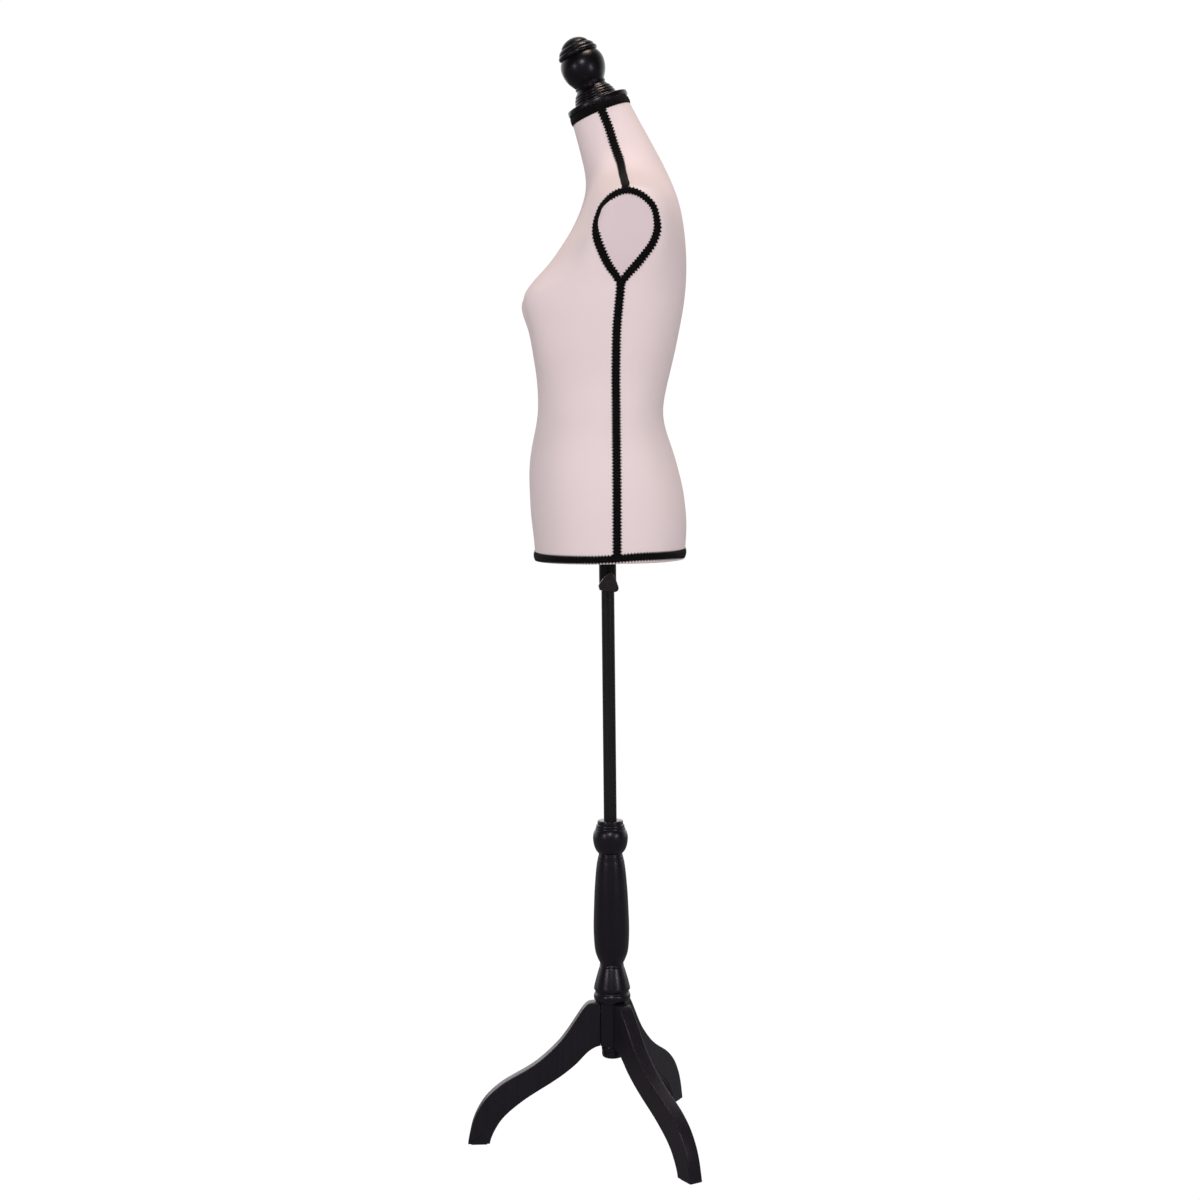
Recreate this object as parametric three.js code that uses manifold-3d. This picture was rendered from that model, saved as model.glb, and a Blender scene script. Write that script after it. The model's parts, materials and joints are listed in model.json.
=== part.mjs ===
// Dress form: a fabric-covered torso on an adjustable pole, with a turned wooden column
// and three curved wooden legs. Millimetres, +Z up. The form faces -Y, so its own left is +X.
// While the pieces are laid out, the pole axis is x = y = 0 and the floor is z = 0.
import * as THREE from "three";
import { mergeVertices } from "three/addons/utils/BufferGeometryUtils.js";
import Module from "manifold-3d";

const wasm = await Module();
wasm.setup();

// ---------------------------------------------------------------- driving dimensions
const GAP = 0.3; // between pieces that rest on each other
const LOOSE = 0.4; // round the studs, the sleeve and the screw through it
const HEM_Z = 914; // lower edge of the torso
const NECK_Z = 1598; // centre of the neck's top face
const NECK_Y = -6;
const NECK_TILT = THREE.MathUtils.degToRad(21.3); // the neck leans forward
const COVER_T = 1.3; // jersey cover
const FOAM_GAP = 0.4; // cover to foam
const FOAM_WALL = 14;
const BRAID_W = 11;
const BRAID_T = 2.4;
const CAP_R = 47.5; // wooden neck cap
const CAP_T = 8;
const POLE_R = 10;
const POLE_BORE = 8.5;
const POLE_TOP = 1016;
const POLE_FOOT = 430; // bottom of the pole's socket in the column
const SLEEVE_R = 13.2;
const SLEEVE_BORE = 11.6;
const SLEEVE_FOOT = 866;
const SLEEVE_TOP = 1380;
const CLAMP_Z = 878; // clamp screw axis
const SCREW_R = 4;
const COLUMN_TOP = 508;
const COLUMN_FOOT = 223;
const HUB_TOP = COLUMN_FOOT - GAP;
const HUB_FOOT = 154;
const HUB_APOTHEM = 19; // hexagonal hub, centre to flat
const STUB_R = 17; // round stub under the hub
const STUB_FOOT = 134;
const LEG_T = 22;
const FOOT_PAD_T = 1.5;
const STAND_TURN = -1.6; // degrees about the pole, against the torso's own front
// Degrees about the pole; right and left here are as seen by a viewer facing the form.
const LEG_ANGLES = {
  front: -90 + STAND_TURN,
  rear_right: 30 + STAND_TURN,
  rear_left: 150 + STAND_TURN,
};

// ---------------------------------------------------------------- torso tables: [z, value]
// The centre front has the same y with and without the bust below z 1100 and above z 1456.
const FRONT_LOW = [
  [880,-110.3], [914,-111], [940,-111.9], [980,-116], [1020,-117.8], [1045,-118.1],
  [1070,-116.3], [1100,-110.9],
];
const FRONT_HIGH = [
  [1456,-31.1], [1475,-27], [1492,-27], [1516,-31.2], [1540,-37.1], [1564,-43.4],
  [1588,-49.8], [1640,-63],
];
// Foremost y, bust included.
const FRONT = [
  ...FRONT_LOW,
  [1130,-105], [1155,-103.4], [1180,-104.2], [1210,-106.8], [1240,-110.5], [1265,-114.7],
  [1285,-121.1], [1300,-125], [1313,-123.4], [1325,-115.6], [1340,-102.5], [1360,-84.6],
  [1384,-68.2], [1408,-52.7], [1432,-40.1],
  ...FRONT_HIGH,
];
// Front y of the rib cage, without the bust.
const CHEST = [
  ...FRONT_LOW,
  [1130,-105.2], [1155,-102], [1185,-100.8], [1220,-99.6], [1260,-97.8], [1300,-94.2],
  [1330,-88.2], [1360,-77], [1390,-62.1], [1420,-46.3], [1440,-36.9],
  ...FRONT_HIGH,
];
// Rearmost y.
const BACK = [
  [880,113.8], [914,116.8], [940,118.7], [969,119.8], [994,118.2], [1018,115.2], [1043,109.9],
  [1067,103.8], [1092,96], [1116,89], [1141,86.8], [1165,90.2], [1189,95.8], [1225,104.5],
  [1262,112.3], [1298,118.8], [1334,122.7], [1364,123.3], [1394,121.7], [1430,117.1],
  [1454,112.1], [1478,105], [1502,94.7], [1526,82.6], [1550,69.7], [1574,56.5], [1598,43.5],
  [1640,21],
];
// Half width.
const WIDTH = [
  [880,146], [914,149.5], [940,152.5], [975,156], [1010,157.5], [1040,155.5], [1070,149],
  [1100,137.5], [1128,124], [1150,116], [1172,113.6], [1198,117], [1230,125.5], [1265,134.5],
  [1295,142.5], [1320,150.5], [1340,161.5], [1360,175], [1385,193], [1410,203], [1428,204],
  [1442,197], [1454,182.5], [1464,157], [1474,127], [1484,100.5], [1496,79.5], [1510,66],
  [1527,57], [1548,51.6], [1572,48], [1600,46.6], [1640,46.5],
];
// y of the widest point, where front and back halves meet.
const SIDE_Y = [
  [880,4], [914,5], [1000,5], [1140,6], [1250,7], [1300,9.5], [1324,13], [1360,18.5],
  [1400,22], [1440,25], [1470,27.5], [1500,29], [1520,25.5], [1550,15], [1574,5], [1598,-4],
  [1640,-20],
];
// Superellipse exponent of the section; 2 is an ellipse.
const ROUNDNESS = [
  [880,2.4], [914,2.4], [1000,2.4], [1140,2.15], [1240,2.25], [1300,2.3], [1340,2.15],
  [1400,1.95], [1440,1.85], [1465,1.8], [1490,1.9], [1510,2], [1550,2], [1640,2],
];
// |x| of the flat that cuts the section off at each armhole.
const ARM_PLATE = [
  [880,500], [1200,330], [1270,205], [1300,166], [1324,155.5], [1350,160], [1452,179.5],
  [1500,188.5], [1640,215],
];
// Heights of the torso's section rings, and the points round each.
const RINGS = [
  914, 927, 955, 995, 1040, 1080, 1110, 1135, 1158, 1190, 1230, 1270, 1300, 1330, 1365,
  1402, 1430, 1449, 1462, 1476, 1492, 1518, 1555, 1584, 1598,
];
const AROUND = 28;

// Seam lines in side view: [y, z].
const SIDE_SEAM = [
  [4.3,900], [4.3,914], [4.4,1000], [4.9,1050], [6,1100], [7.5,1145], [7.7,1200], [8,1235],
  [8.7,1259], [10,1276], [11.6,1294], [13,1308], [14.2,1322.8],
];
const SHOULDER_SEAM = [
  [20.6,1453], [21.1,1465.9], [21.9,1479], [21.9,1492], [20.9,1504.6], [18.3,1515.2],
  [15.5,1524.9], [12.6,1534.1], [10.1,1543.3], [7.5,1552.5], [4.7,1561.5], [1.3,1570.4],
  [-5,1586], [-14,1615],
];
const ARMHOLE = [
  [18.4,1449.4], [8.9,1446.9], [0.3,1443], [-8.3,1435.8], [-12.6,1431], [-17.8,1420.3],
  [-21.5,1409], [-23.1,1397.7], [-22.6,1386.3], [-19.3,1375], [-14.6,1363.6], [-9,1352.2],
  [-1.2,1340.8], [6.9,1331], [13.8,1323.6], [21,1330.2], [29.6,1340.6], [39.5,1352],
  [48.7,1363.3], [57.1,1374.7], [62.4,1386], [65.1,1397.4], [64.8,1408.7], [62.8,1420.1],
  [57.6,1430.6], [51.8,1436.6], [43.3,1443.2], [34.7,1447.4], [26.5,1449.4],
];
// Heights of the sections along the straight braids.
const SIDE_BRAID_Z = [
  929.2, 960, 1000, 1040, 1075, 1105, 1130, 1155, 1180, 1210, 1245, 1275, 1298, 1315.5,
];
const SHOULDER_BRAID_Z = [1457.5, 1461, 1466, 1475, 1484, 1496, 1512, 1532, 1556, 1576];

// Turned profiles: [radius, z]. The finial's z is from the top of the cap.
const COLUMN = [
  [28,COLUMN_FOOT], [28,234], [26.4,238.5], [28,243.3], [25.6,255], [22.3,267], [17.9,282],
  [22.4,292], [25.8,305], [27.3,323], [27.7,343], [25.8,395], [23,430], [18.2,456.5],
  [24.3,465], [26.9,477], [25.8,489], [22,498], [19.8,503], [19.8,COLUMN_TOP],
];
const FINIAL = [
  [34,GAP], [34,4.2], [31.4,6], [31.4,9.6], [29.2,11.6], [27.8,16.4], [25.6,19], [23.4,22],
  [23.1,28], [25.9,32.6], [29.9,39.4], [32.6,47], [33.7,55], [32.6,64.5], [29.9,71],
  [28.8,73.5], [29.5,77.5], [28.2,82.4], [25,85.4], [21,88.6], [18.2,92.9], [13.6,96.5],
  [8,99.5], [0,100.7],
];
// Side outline of a leg: [distance from the pole axis, z].
const LEG = [
  [19.3,222.5], [30,222.5], [36.5,221.6], [42.4,218.6], [48.8,210.5], [61.5,190.1],
  [74.2,171.1], [86.8,157], [99.4,144.4], [118.4,128.7], [137.3,116.2], [156.1,106.8],
  [175,94.3], [187.7,84.8], [196.5,77.4], [203.5,69], [209.8,59.5], [215.5,48.6],
  [219.8,38], [224,22], [226.4,10], [228,1.8], [193.6,1.8], [192.2,8], [188.7,17],
  [182.2,30.3], [175.9,38.2], [169.5,46.2], [156.8,57.2], [137.9,71.4], [119,83.9],
  [100.1,94.9], [81.2,107.4], [62.3,121.5], [52,130.6], [43.3,140], [36,146.2],
  [29,150.4], [19.3,HUB_FOOT],
];

// ---------------------------------------------------------------- solids
// A solid facing outwards, whichever way the triangles were wound.
function solid(positions, indices) {
  const build = (triangles) =>
    new wasm.Manifold(
      new wasm.Mesh({
        numProp: 3,
        vertProperties: new Float32Array(positions),
        triVerts: new Uint32Array(triangles.flat()),
      }),
    );
  const triangles = [];
  for (let i = 0; i < indices.length; i += 3) {
    const [a, b, c] = [indices[i], indices[i + 1], indices[i + 2]];
    if (a !== b && b !== c && c !== a) triangles.push([a, b, c]);
  }
  const made = build(triangles);
  return made.volume() > 0 ? made : build(triangles.map(([a, b, c]) => [a, c, b]));
}

function fromGeometry(geometry, matrix) {
  for (const name of Object.keys(geometry.attributes)) {
    if (name !== "position") geometry.deleteAttribute(name);
  }
  const merged = mergeVertices(geometry.applyMatrix4(matrix), 1e-3);
  return solid(merged.attributes.position.array, merged.index.array);
}

function toGeometry(made) {
  const mesh = made.getMesh();
  const geometry = new THREE.BufferGeometry();
  const positions = new Float32Array(mesh.vertProperties);
  geometry.setAttribute("position", new THREE.BufferAttribute(positions, 3));
  geometry.setIndex(new THREE.BufferAttribute(new Uint32Array(mesh.triVerts), 1));
  geometry.computeVertexNormals();
  return geometry;
}

const largest = (made) => made.decompose().reduce((a, b) => (b.volume() > a.volume() ? b : a));

// Quads between rings of equal count; open lofts are capped with fans.
function loft(rings, closed = false) {
  const count = rings[0].length;
  const last = rings.length - 1;
  const positions = rings.flat().flatMap((p) => [p.x, p.y, p.z]);
  const indices = [];
  for (let i = 0; i < (closed ? last + 1 : last); i++) {
    for (let j = 0; j < count; j++) {
      const row = i * count;
      const nextRow = ((i + 1) % rings.length) * count;
      const k = (j + 1) % count;
      indices.push(row + j, row + k, nextRow + k, row + j, nextRow + k, nextRow + j);
    }
  }
  if (closed) return solid(positions, indices);
  for (const i of [0, last]) {
    const centre = new THREE.Vector3();
    for (const p of rings[i]) centre.addScaledVector(p, 1 / count);
    const hub = positions.length / 3;
    positions.push(centre.x, centre.y, centre.z);
    for (let j = 0; j < count; j++) {
      const a = i * count + j;
      const b = i * count + ((j + 1) % count);
      if (i === 0) indices.push(hub, b, a);
      else indices.push(hub, a, b);
    }
  }
  return solid(positions, indices);
}

const moved = (x, y, z) => new THREE.Matrix4().makeTranslation(x, y, z);
const turnX = (angle) => new THREE.Matrix4().makeRotationX(angle);
const axes = (...directions) =>
  new THREE.Matrix4().makeBasis(...directions.map((d) => new THREE.Vector3(...d)));

// A piece turned about Z from [radius, z] pairs that start and end on the axis,
// or close on themselves.
function turned(profile, segments, matrix = new THREE.Matrix4()) {
  const points = profile.map(([radius, z]) => new THREE.Vector2(radius, z));
  const lathe = new THREE.LatheGeometry(points, segments);
  return fromGeometry(lathe, matrix.clone().multiply(turnX(Math.PI / 2)));
}
const rod = (radius, z0, z1, segments, matrix) =>
  turned([[0, z0], [radius, z0], [radius, z1], [0, z1]], segments, matrix);
const tube = (bore, radius, z0, z1) =>
  turned([[bore, z0], [radius, z0], [radius, z1], [bore, z1], [bore, z0]], 24);
// Turns local +Z to lie along +X, at height z.
const alongX = (z) => moved(0, 0, z).multiply(new THREE.Matrix4().makeRotationY(Math.PI / 2));
const rodX = (radius, x0, x1, z, segments) => rod(radius, x0, x1, segments, alongX(z));

// An outline extruded along local +Z. A chamfer adds its height beyond each end.
function extruded(points, depth, matrix, chamfer) {
  const outline = new THREE.Shape(points.map(([x, y]) => new THREE.Vector2(x, y)));
  const bevel = chamfer && {
    bevelThickness: chamfer.height,
    bevelSize: chamfer.inset,
    bevelOffset: -chamfer.inset,
    bevelSegments: 1,
  };
  const options = { depth, bevelEnabled: Boolean(chamfer), ...bevel };
  return fromGeometry(new THREE.ExtrudeGeometry(outline, options), matrix);
}
// A plate from a plan outline.
const plate = (points, z0, z1) => extruded(points, z1 - z0, moved(0, 0, z0));
// A prism along X from an outline in [y, z].
const SIDE_ON = axes([0, 1, 0], [0, 0, 1], [1, 0, 0]);
const prismX = (points, x0, x1) =>
  extruded(points, x1 - x0, moved(x0, 0, 0).multiply(SIDE_ON));

// ---------------------------------------------------------------- torso surface
const clamp01 = (value) => Math.min(Math.max(value, 0), 1);

// Index of the span between rising stops that holds a value; the end spans reach outwards.
function spanAt(stops, value) {
  let i = 0;
  while (i < stops.length - 2 && value > stops[i + 1]) i++;
  return i;
}

// Natural cubic spline through a table, held level beyond its ends.
function spline(table) {
  const xs = table.map((entry) => entry[0]);
  const ys = table.map((entry) => entry[1]);
  const last = xs.length - 1;
  const steps = xs.slice(1).map((x, i) => x - xs[i]);
  const slopes = steps.map((step, i) => (ys[i + 1] - ys[i]) / step);
  // Tridiagonal solve for the second derivatives.
  const bends = new Array(last + 1).fill(0);
  const upper = [0];
  const right = [0];
  for (let i = 1; i < last; i++) {
    const pivot = 2 * (steps[i - 1] + steps[i]) - steps[i - 1] * upper[i - 1];
    upper[i] = steps[i] / pivot;
    right[i] = (6 * (slopes[i] - slopes[i - 1]) - steps[i - 1] * right[i - 1]) / pivot;
  }
  for (let i = last - 1; i > 0; i--) bends[i] = right[i] - upper[i] * bends[i + 1];
  return (value) => {
    const x = Math.min(Math.max(value, xs[0]), xs[last]);
    const i = spanAt(xs, x);
    const step = steps[i];
    const term = (k, reach) =>
      (bends[k] * reach ** 3) / (6 * step) + (ys[k] / step - (bends[k] * step) / 6) * reach;
    return term(i, xs[i + 1] - x) + term(i + 1, x - xs[i]);
  };
}
const [frontAt, backAt, chestAt, widthAt, sideYAt, roundnessAt, armPlateAt] =
  [FRONT, BACK, CHEST, WIDTH, SIDE_Y, ROUNDNESS, ARM_PLATE].map(spline);

// Forward swell of the bust: two bells at x and -x, with their spreads each way.
const BUST = { x: 83, z: 1299, depth: 41, spreadX: 57, spreadUp: 58, spreadDown: 84 };
const bell = (value) => Math.exp(-(value ** 2));
function bust(x, z) {
  const { spreadX } = BUST;
  const across =
    (bell((x - BUST.x) / spreadX) + bell((x + BUST.x) / spreadX)) /
    (1 + bell((2 * BUST.x) / spreadX));
  const rise = z - BUST.z;
  return BUST.depth * across * bell(rise / (rise > 0 ? BUST.spreadUp : BUST.spreadDown));
}

// Below 1 inside the torso without its bust, above 1 outside.
const PLATE_BLEND = 24; // exponent: higher makes a sharper edge round the arm plates
function gauge(x, y, z) {
  const sideY = sideYAt(z);
  const power = roundnessAt(z);
  const depth = y < sideY ? sideY - chestAt(z) : backAt(z) - sideY;
  const round =
    (Math.abs(x / widthAt(z)) ** power + Math.abs((y - sideY) / depth) ** power) ** (1 / power);
  const flat = Math.abs(x) / armPlateAt(z);
  return (round ** PLATE_BLEND + flat ** PLATE_BLEND) ** (1 / PLATE_BLEND);
}

const LEAN_FROM_Z = 1455; // the section planes start to tilt here
const CENTRE_FROM_Z = 1540; // and their centres start to move to the neck's here
const BUST_FIT_TOP = 1470; // the fit to FRONT fades out below this height
const BUST_FIT_FADE = 60;

// The surface point of the section at a level, in the direction of an angle.
function surfacePoint(level, angle) {
  const lean = clamp01((level - LEAN_FROM_Z) / (NECK_Z - LEAN_FROM_Z));
  const tilt = NECK_TILT * (lean * lean * (3 - 2 * lean));
  const shift = clamp01((level - CENTRE_FROM_Z) / (NECK_Z - CENTRE_FROM_Z));
  const centreY = sideYAt(Math.min(level, NECK_Z)) * (1 - shift) + NECK_Y * shift;
  const centre = new THREE.Vector3(0, centreY, level);
  const across = Math.sin(angle);
  const direction = new THREE.Vector3(
    Math.cos(angle), across * Math.cos(tilt), across * Math.sin(tilt),
  );
  const pointAt = (reach) => centre.clone().addScaledVector(direction, reach);
  let low = 0;
  let high = 260;
  for (let i = 0; i < 34; i++) {
    const middle = (low + high) / 2;
    if (gauge(...pointAt(middle)) < 1) low = middle;
    else high = middle;
  }
  const point = pointAt((low + high) / 2);
  point.y -= bust(point.x, point.z) * clamp01(-across) ** 0.6;
  return point;
}

// A section ring, its front half scaled to reach the FRONT table.
function surfaceRing(level, count) {
  const sideY = sideYAt(level);
  let front = Infinity;
  for (let i = 0; i <= 60; i++) {
    front = Math.min(front, surfacePoint(level, -Math.PI * (i / 60)).y);
  }
  const fit = (frontAt(level) - sideY) / (front - sideY);
  const scale = 1 + (fit - 1) * clamp01((BUST_FIT_TOP - level) / BUST_FIT_FADE);
  return Array.from({ length: count }, (_, j) => {
    const point = surfacePoint(level, -Math.PI / 2 + (2 * Math.PI * (j + 0.5)) / count);
    if (point.y < sideY) point.y = sideY + (point.y - sideY) * scale;
    return point;
  });
}

const body = RINGS.map((level) => surfaceRing(level, AROUND));
const normals = body.map((ring, i) => {
  const above = body[Math.min(i + 1, body.length - 1)];
  const below = body[Math.max(i - 1, 0)];
  return ring.map((_, j) => {
    const along = ring[(j + 1) % AROUND].clone().sub(ring[(j + AROUND - 1) % AROUND]);
    return along.cross(above[j].clone().sub(below[j])).normalize();
  });
});

// A point at any height on the flat between the rings, moved out along the normal.
function bodyAt(level, j, offset) {
  const i = spanAt(RINGS, level);
  const k = (level - RINGS[i]) / (RINGS[i + 1] - RINGS[i]);
  const normal = normals[i][j].clone().lerp(normals[i + 1][j], clamp01(k)).normalize();
  return body[i][j].clone().lerp(body[i + 1][j], k).addScaledVector(normal, offset);
}
const bodyRing = (level, offset) =>
  Array.from({ length: AROUND }, (_, j) => bodyAt(level, j, offset));
function bodySolid(offset, foot, top) {
  const between = RINGS.filter((level) => level > foot + 1 && level < top - 1);
  return loft([foot, ...between, top].map((level) => bodyRing(level, offset)));
}

// ---------------------------------------------------------------- model
const JERSEY = { color: 0xdecdcf, roughness: 0.95 };
const BRAID = { color: 0x121113, roughness: 0.9 };
const FOAM = { color: 0xe9e6df, roughness: 0.9 };
const BLACK_WOOD = { color: 0x17120f, roughness: 0.38 };
const BOARD = { color: 0xb08d5f, roughness: 0.8 };
const STEEL = { color: 0x1b1b1c, roughness: 0.35, metalness: 0.6 };
const ZINC = { color: 0xa9abad, roughness: 0.4, metalness: 0.9 };
const NYLON = { color: 0xdedcd4, roughness: 0.6 };
const KNOB = { color: 0x2a2a2b, roughness: 0.65 };
const FELT = { color: 0x1c1b1a, roughness: 0.95 };

const model = new THREE.Group();
function add(name, made, finish, parent = model) {
  const mesh = new THREE.Mesh(toGeometry(made), new THREE.MeshStandardMaterial(finish));
  mesh.name = name;
  parent.add(mesh);
}

// ---------------------------------------------------------------- foam body
// Hollow of the foam body: open at the hem, closed below the shoulders.
const HOLLOW_Z = [900, 930, 980, 1040, 1090, 1140, 1190, 1240, 1290, 1330, 1365, 1400];
const HOLLOW_AROUND = 20;
const HOLLOW_Y = 5; // middle of the hollow
// Each ring keeps the wall clear of the narrowest of three nearby sections.
const hollow = HOLLOW_Z.map((z) => {
  const near = [z - 14, z, z + 14].map((level) =>
    surfaceRing(Math.max(level, HEM_Z), HOLLOW_AROUND),
  );
  return near[1].map((point, j) => {
    const reaches = near.map((ring) => Math.hypot(ring[j].x, ring[j].y - HOLLOW_Y));
    const reach = Math.min(...reaches) - FOAM_WALL - COVER_T - FOAM_GAP;
    const angle = Math.atan2(point.y - HOLLOW_Y, point.x);
    return new THREE.Vector3(reach * Math.cos(angle), HOLLOW_Y + reach * Math.sin(angle), z);
  });
});

const NECK_BLOCK_R = 28;
const NECK_BLOCK_H = 50;
const neckFrame = moved(0, NECK_Y, NECK_Z).multiply(turnX(NECK_TILT));
add(
  "foam_body",
  bodySolid(-COVER_T - FOAM_GAP, HEM_Z + GAP, NECK_Z - GAP)
    .subtract(loft(hollow))
    .subtract(rod(NECK_BLOCK_R + GAP, -NECK_BLOCK_H - GAP, 20, 24, neckFrame)),
  FOAM,
);

// ---------------------------------------------------------------- jersey cover
// Front, back and two armhole panels, cut from one shell with a narrow slit at each seam.
const SLIT = 0.2; // each side of a seam line
const coverShell = bodySolid(0, HEM_Z, NECK_Z)
  .subtract(bodySolid(-COVER_T, HEM_Z - 4, NECK_Z + 4));

// Everything on one side of the side and shoulder seams: -1 is the front, 1 the back.
function coverHalf(side) {
  const seam = [...SIDE_SEAM, [14.2, 1323], [20.4, 1452.6], ...SHOULDER_SEAM];
  const line = seam
    .filter(([y, z], i) => !i || Math.hypot(y - seam[i - 1][0], z - seam[i - 1][1]) > 0.8)
    .map(([y, z]) => [y + side * SLIT, z]);
  return prismX([...line, [side * 330, 1640], [side * 330, 890]], -300, 300);
}
// Prisms through the left and right armholes, grown about the armhole's middle.
function armPrisms(growth) {
  const [middleY, middleZ] = [22, 1392];
  const outline = ARMHOLE.map(([y, z]) => {
    const radius = Math.hypot(y - middleY, z - middleZ);
    const scale = (radius + growth) / radius;
    return [middleY + (y - middleY) * scale, middleZ + (z - middleZ) * scale];
  });
  return [prismX(outline, 60, 300), prismX(outline, -300, -60)];
}
const withoutArms = armPrisms(SLIT).reduce((made, arm) => made.subtract(arm), coverShell);
add("cover_front", largest(withoutArms.intersect(coverHalf(-1))), JERSEY);
add("cover_back", largest(withoutArms.intersect(coverHalf(1))), JERSEY);
const [leftArm, rightArm] = armPrisms(-SLIT);
add("armhole_panel_left", largest(coverShell.intersect(leftArm)), JERSEY);
add("armhole_panel_right", largest(coverShell.intersect(rightArm)), JERSEY);

// ---------------------------------------------------------------- braid trims
// A band right round the torso, lying on the cover.
function band({ foot, top, lift }) {
  const sections = Array.from({ length: AROUND }, (_, j) => [
    bodyAt(foot, j, GAP), bodyAt(top, j, GAP), bodyAt(top, j, lift), bodyAt(foot, j, lift),
  ]);
  return loft(sections, true);
}
add("hem_braid", band({ foot: 915.6, top: 927.2, lift: BRAID_T }), BRAID);
add("neck_braid", band({ foot: 1585.2, top: 1597.2, lift: BRAID_T + 0.3 }), BRAID);

// Outermost point of the cover on the +X side at (y, z), with the normal there.
function touch(y, z) {
  let best = null;
  const tryTriangle = (corners) => {
    const [a, b, c] = corners.map(([i, j]) => body[i][j]);
    const area = (b.y - a.y) * (c.z - a.z) - (c.y - a.y) * (b.z - a.z);
    if (Math.abs(area) < 1e-9) return;
    const v = ((y - a.y) * (c.z - a.z) - (c.y - a.y) * (z - a.z)) / area;
    const w = ((b.y - a.y) * (z - a.z) - (y - a.y) * (b.z - a.z)) / area;
    if (v < -1e-6 || w < -1e-6 || v + w > 1 + 1e-6) return;
    const x = a.x + v * (b.x - a.x) + w * (c.x - a.x);
    if (x <= 0 || (best && x <= best.point.x)) return;
    const normal = new THREE.Vector3();
    [1 - v - w, v, w].forEach((weight, k) => {
      const [i, j] = corners[k];
      normal.addScaledVector(normals[i][j], weight);
    });
    best = { point: new THREE.Vector3(x, y, z), normal: normal.normalize() };
  };
  for (let i = 0; i < body.length - 1; i++) {
    for (let j = 0; j < AROUND; j++) {
      const k = (j + 1) % AROUND;
      tryTriangle([[i, j], [i, k], [i + 1, k]]);
      tryTriangle([[i, j], [i + 1, k], [i + 1, j]]);
    }
  }
  if (!best) throw new Error(`no surface at ${y}, ${z}`);
  return best;
}

const BRAID_SINK = 1.8; // depth below the cover before the underside is trimmed
const lifted = bodySolid(GAP, HEM_Z - 6, NECK_Z + 6);
// A braid along a [y, z] line; side is 1 for +X, -1 for its mirror.
function braid(line, closed, side) {
  const touches = line.map(([y, z]) => touch(y, z));
  const count = touches.length;
  const sections = touches.map(({ point, normal }, i) => {
    const before = touches[closed ? (i + count - 1) % count : Math.max(i - 1, 0)].point;
    const after = touches[closed ? (i + 1) % count : Math.min(i + 1, count - 1)].point;
    const across = after.clone().sub(before).cross(normal).normalize();
    const corner = (edge, height) => {
      const p = point.clone().addScaledVector(across, (edge * BRAID_W) / 2);
      p.addScaledVector(normal, height);
      p.x *= side;
      return p;
    };
    return [
      corner(-1, -BRAID_SINK), corner(1, -BRAID_SINK), corner(1, BRAID_T), corner(-1, BRAID_T),
    ];
  });
  return largest(loft(sections, closed).subtract(lifted));
}
function resample(line, heights) {
  const stops = line.map((point) => point[1]);
  return heights.map((z) => {
    const i = spanAt(stops, z);
    const k = (z - stops[i]) / (stops[i + 1] - stops[i]);
    return [line[i][0] + k * (line[i + 1][0] - line[i][0]), z];
  });
}
const sideLine = resample(SIDE_SEAM, SIDE_BRAID_Z);
const shoulderLine = resample(SHOULDER_SEAM, SHOULDER_BRAID_Z);
for (const [name, side] of [["left", 1], ["right", -1]]) {
  add("side_braid_" + name, braid(sideLine, false, side), BRAID);
  add("armhole_braid_" + name, braid(ARMHOLE, true, side), BRAID);
  add("shoulder_braid_" + name, braid(shoulderLine, false, side), BRAID);
}

// ---------------------------------------------------------------- neck, in its tilted frame
const neck = new THREE.Group();
neck.position.set(0, NECK_Y, NECK_Z);
neck.rotation.x = NECK_TILT;
model.add(neck);

const STUD_R = 4;
const STUD_BORE = STUD_R + LOOSE;
const STUD_HOLE_FOOT = -38;
const STUD_HOLE_TOP = CAP_T + 26;
const CAP_EDGE = 1.2; // chamfer
add("neck_block", turned([
  [0, -NECK_BLOCK_H], [NECK_BLOCK_R, -NECK_BLOCK_H], [NECK_BLOCK_R, -0.6],
  [STUD_BORE, -0.6], [STUD_BORE, STUD_HOLE_FOOT], [0, STUD_HOLE_FOOT],
], 24), BOARD, neck);
add("neck_cap", turned([
  [STUD_BORE, GAP], [CAP_R - CAP_EDGE, GAP], [CAP_R, GAP + CAP_EDGE],
  [CAP_R, CAP_T - CAP_EDGE], [CAP_R - CAP_EDGE, CAP_T], [STUD_BORE, CAP_T], [STUD_BORE, GAP],
], 32), BLACK_WOOD, neck);
add("finial", turned([
  [0, STUD_HOLE_TOP], [STUD_BORE, STUD_HOLE_TOP], [STUD_BORE, CAP_T + GAP],
  ...FINIAL.map(([radius, z]) => [radius, z + CAP_T]),
], 20), BLACK_WOOD, neck);
add("finial_stud", rod(STUD_R, STUD_HOLE_FOOT + 0.5, STUD_HOLE_TOP - 0.5, 12), ZINC, neck);

// ---------------------------------------------------------------- boards, sleeve and flange
// A board that fills the hollow between two heights, shrunk a little about its middle.
const BOARD_SHRINK = 0.994;
const boardCore = loft(hollow.map((ring) => ring.map(({ x, y, z }) =>
  new THREE.Vector3(x * BOARD_SHRINK, HOLLOW_Y + (y - HOLLOW_Y) * BOARD_SHRINK, z))));
const sleeveHole = rod(SLEEVE_R + LOOSE, 880, 1400, 24);
const board = (z0, z1) => {
  const slab = plate([[-250, -250], [250, -250], [250, 250], [-250, 250]], z0, z1);
  return boardCore.intersect(slab).subtract(sleeveHole);
};

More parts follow.
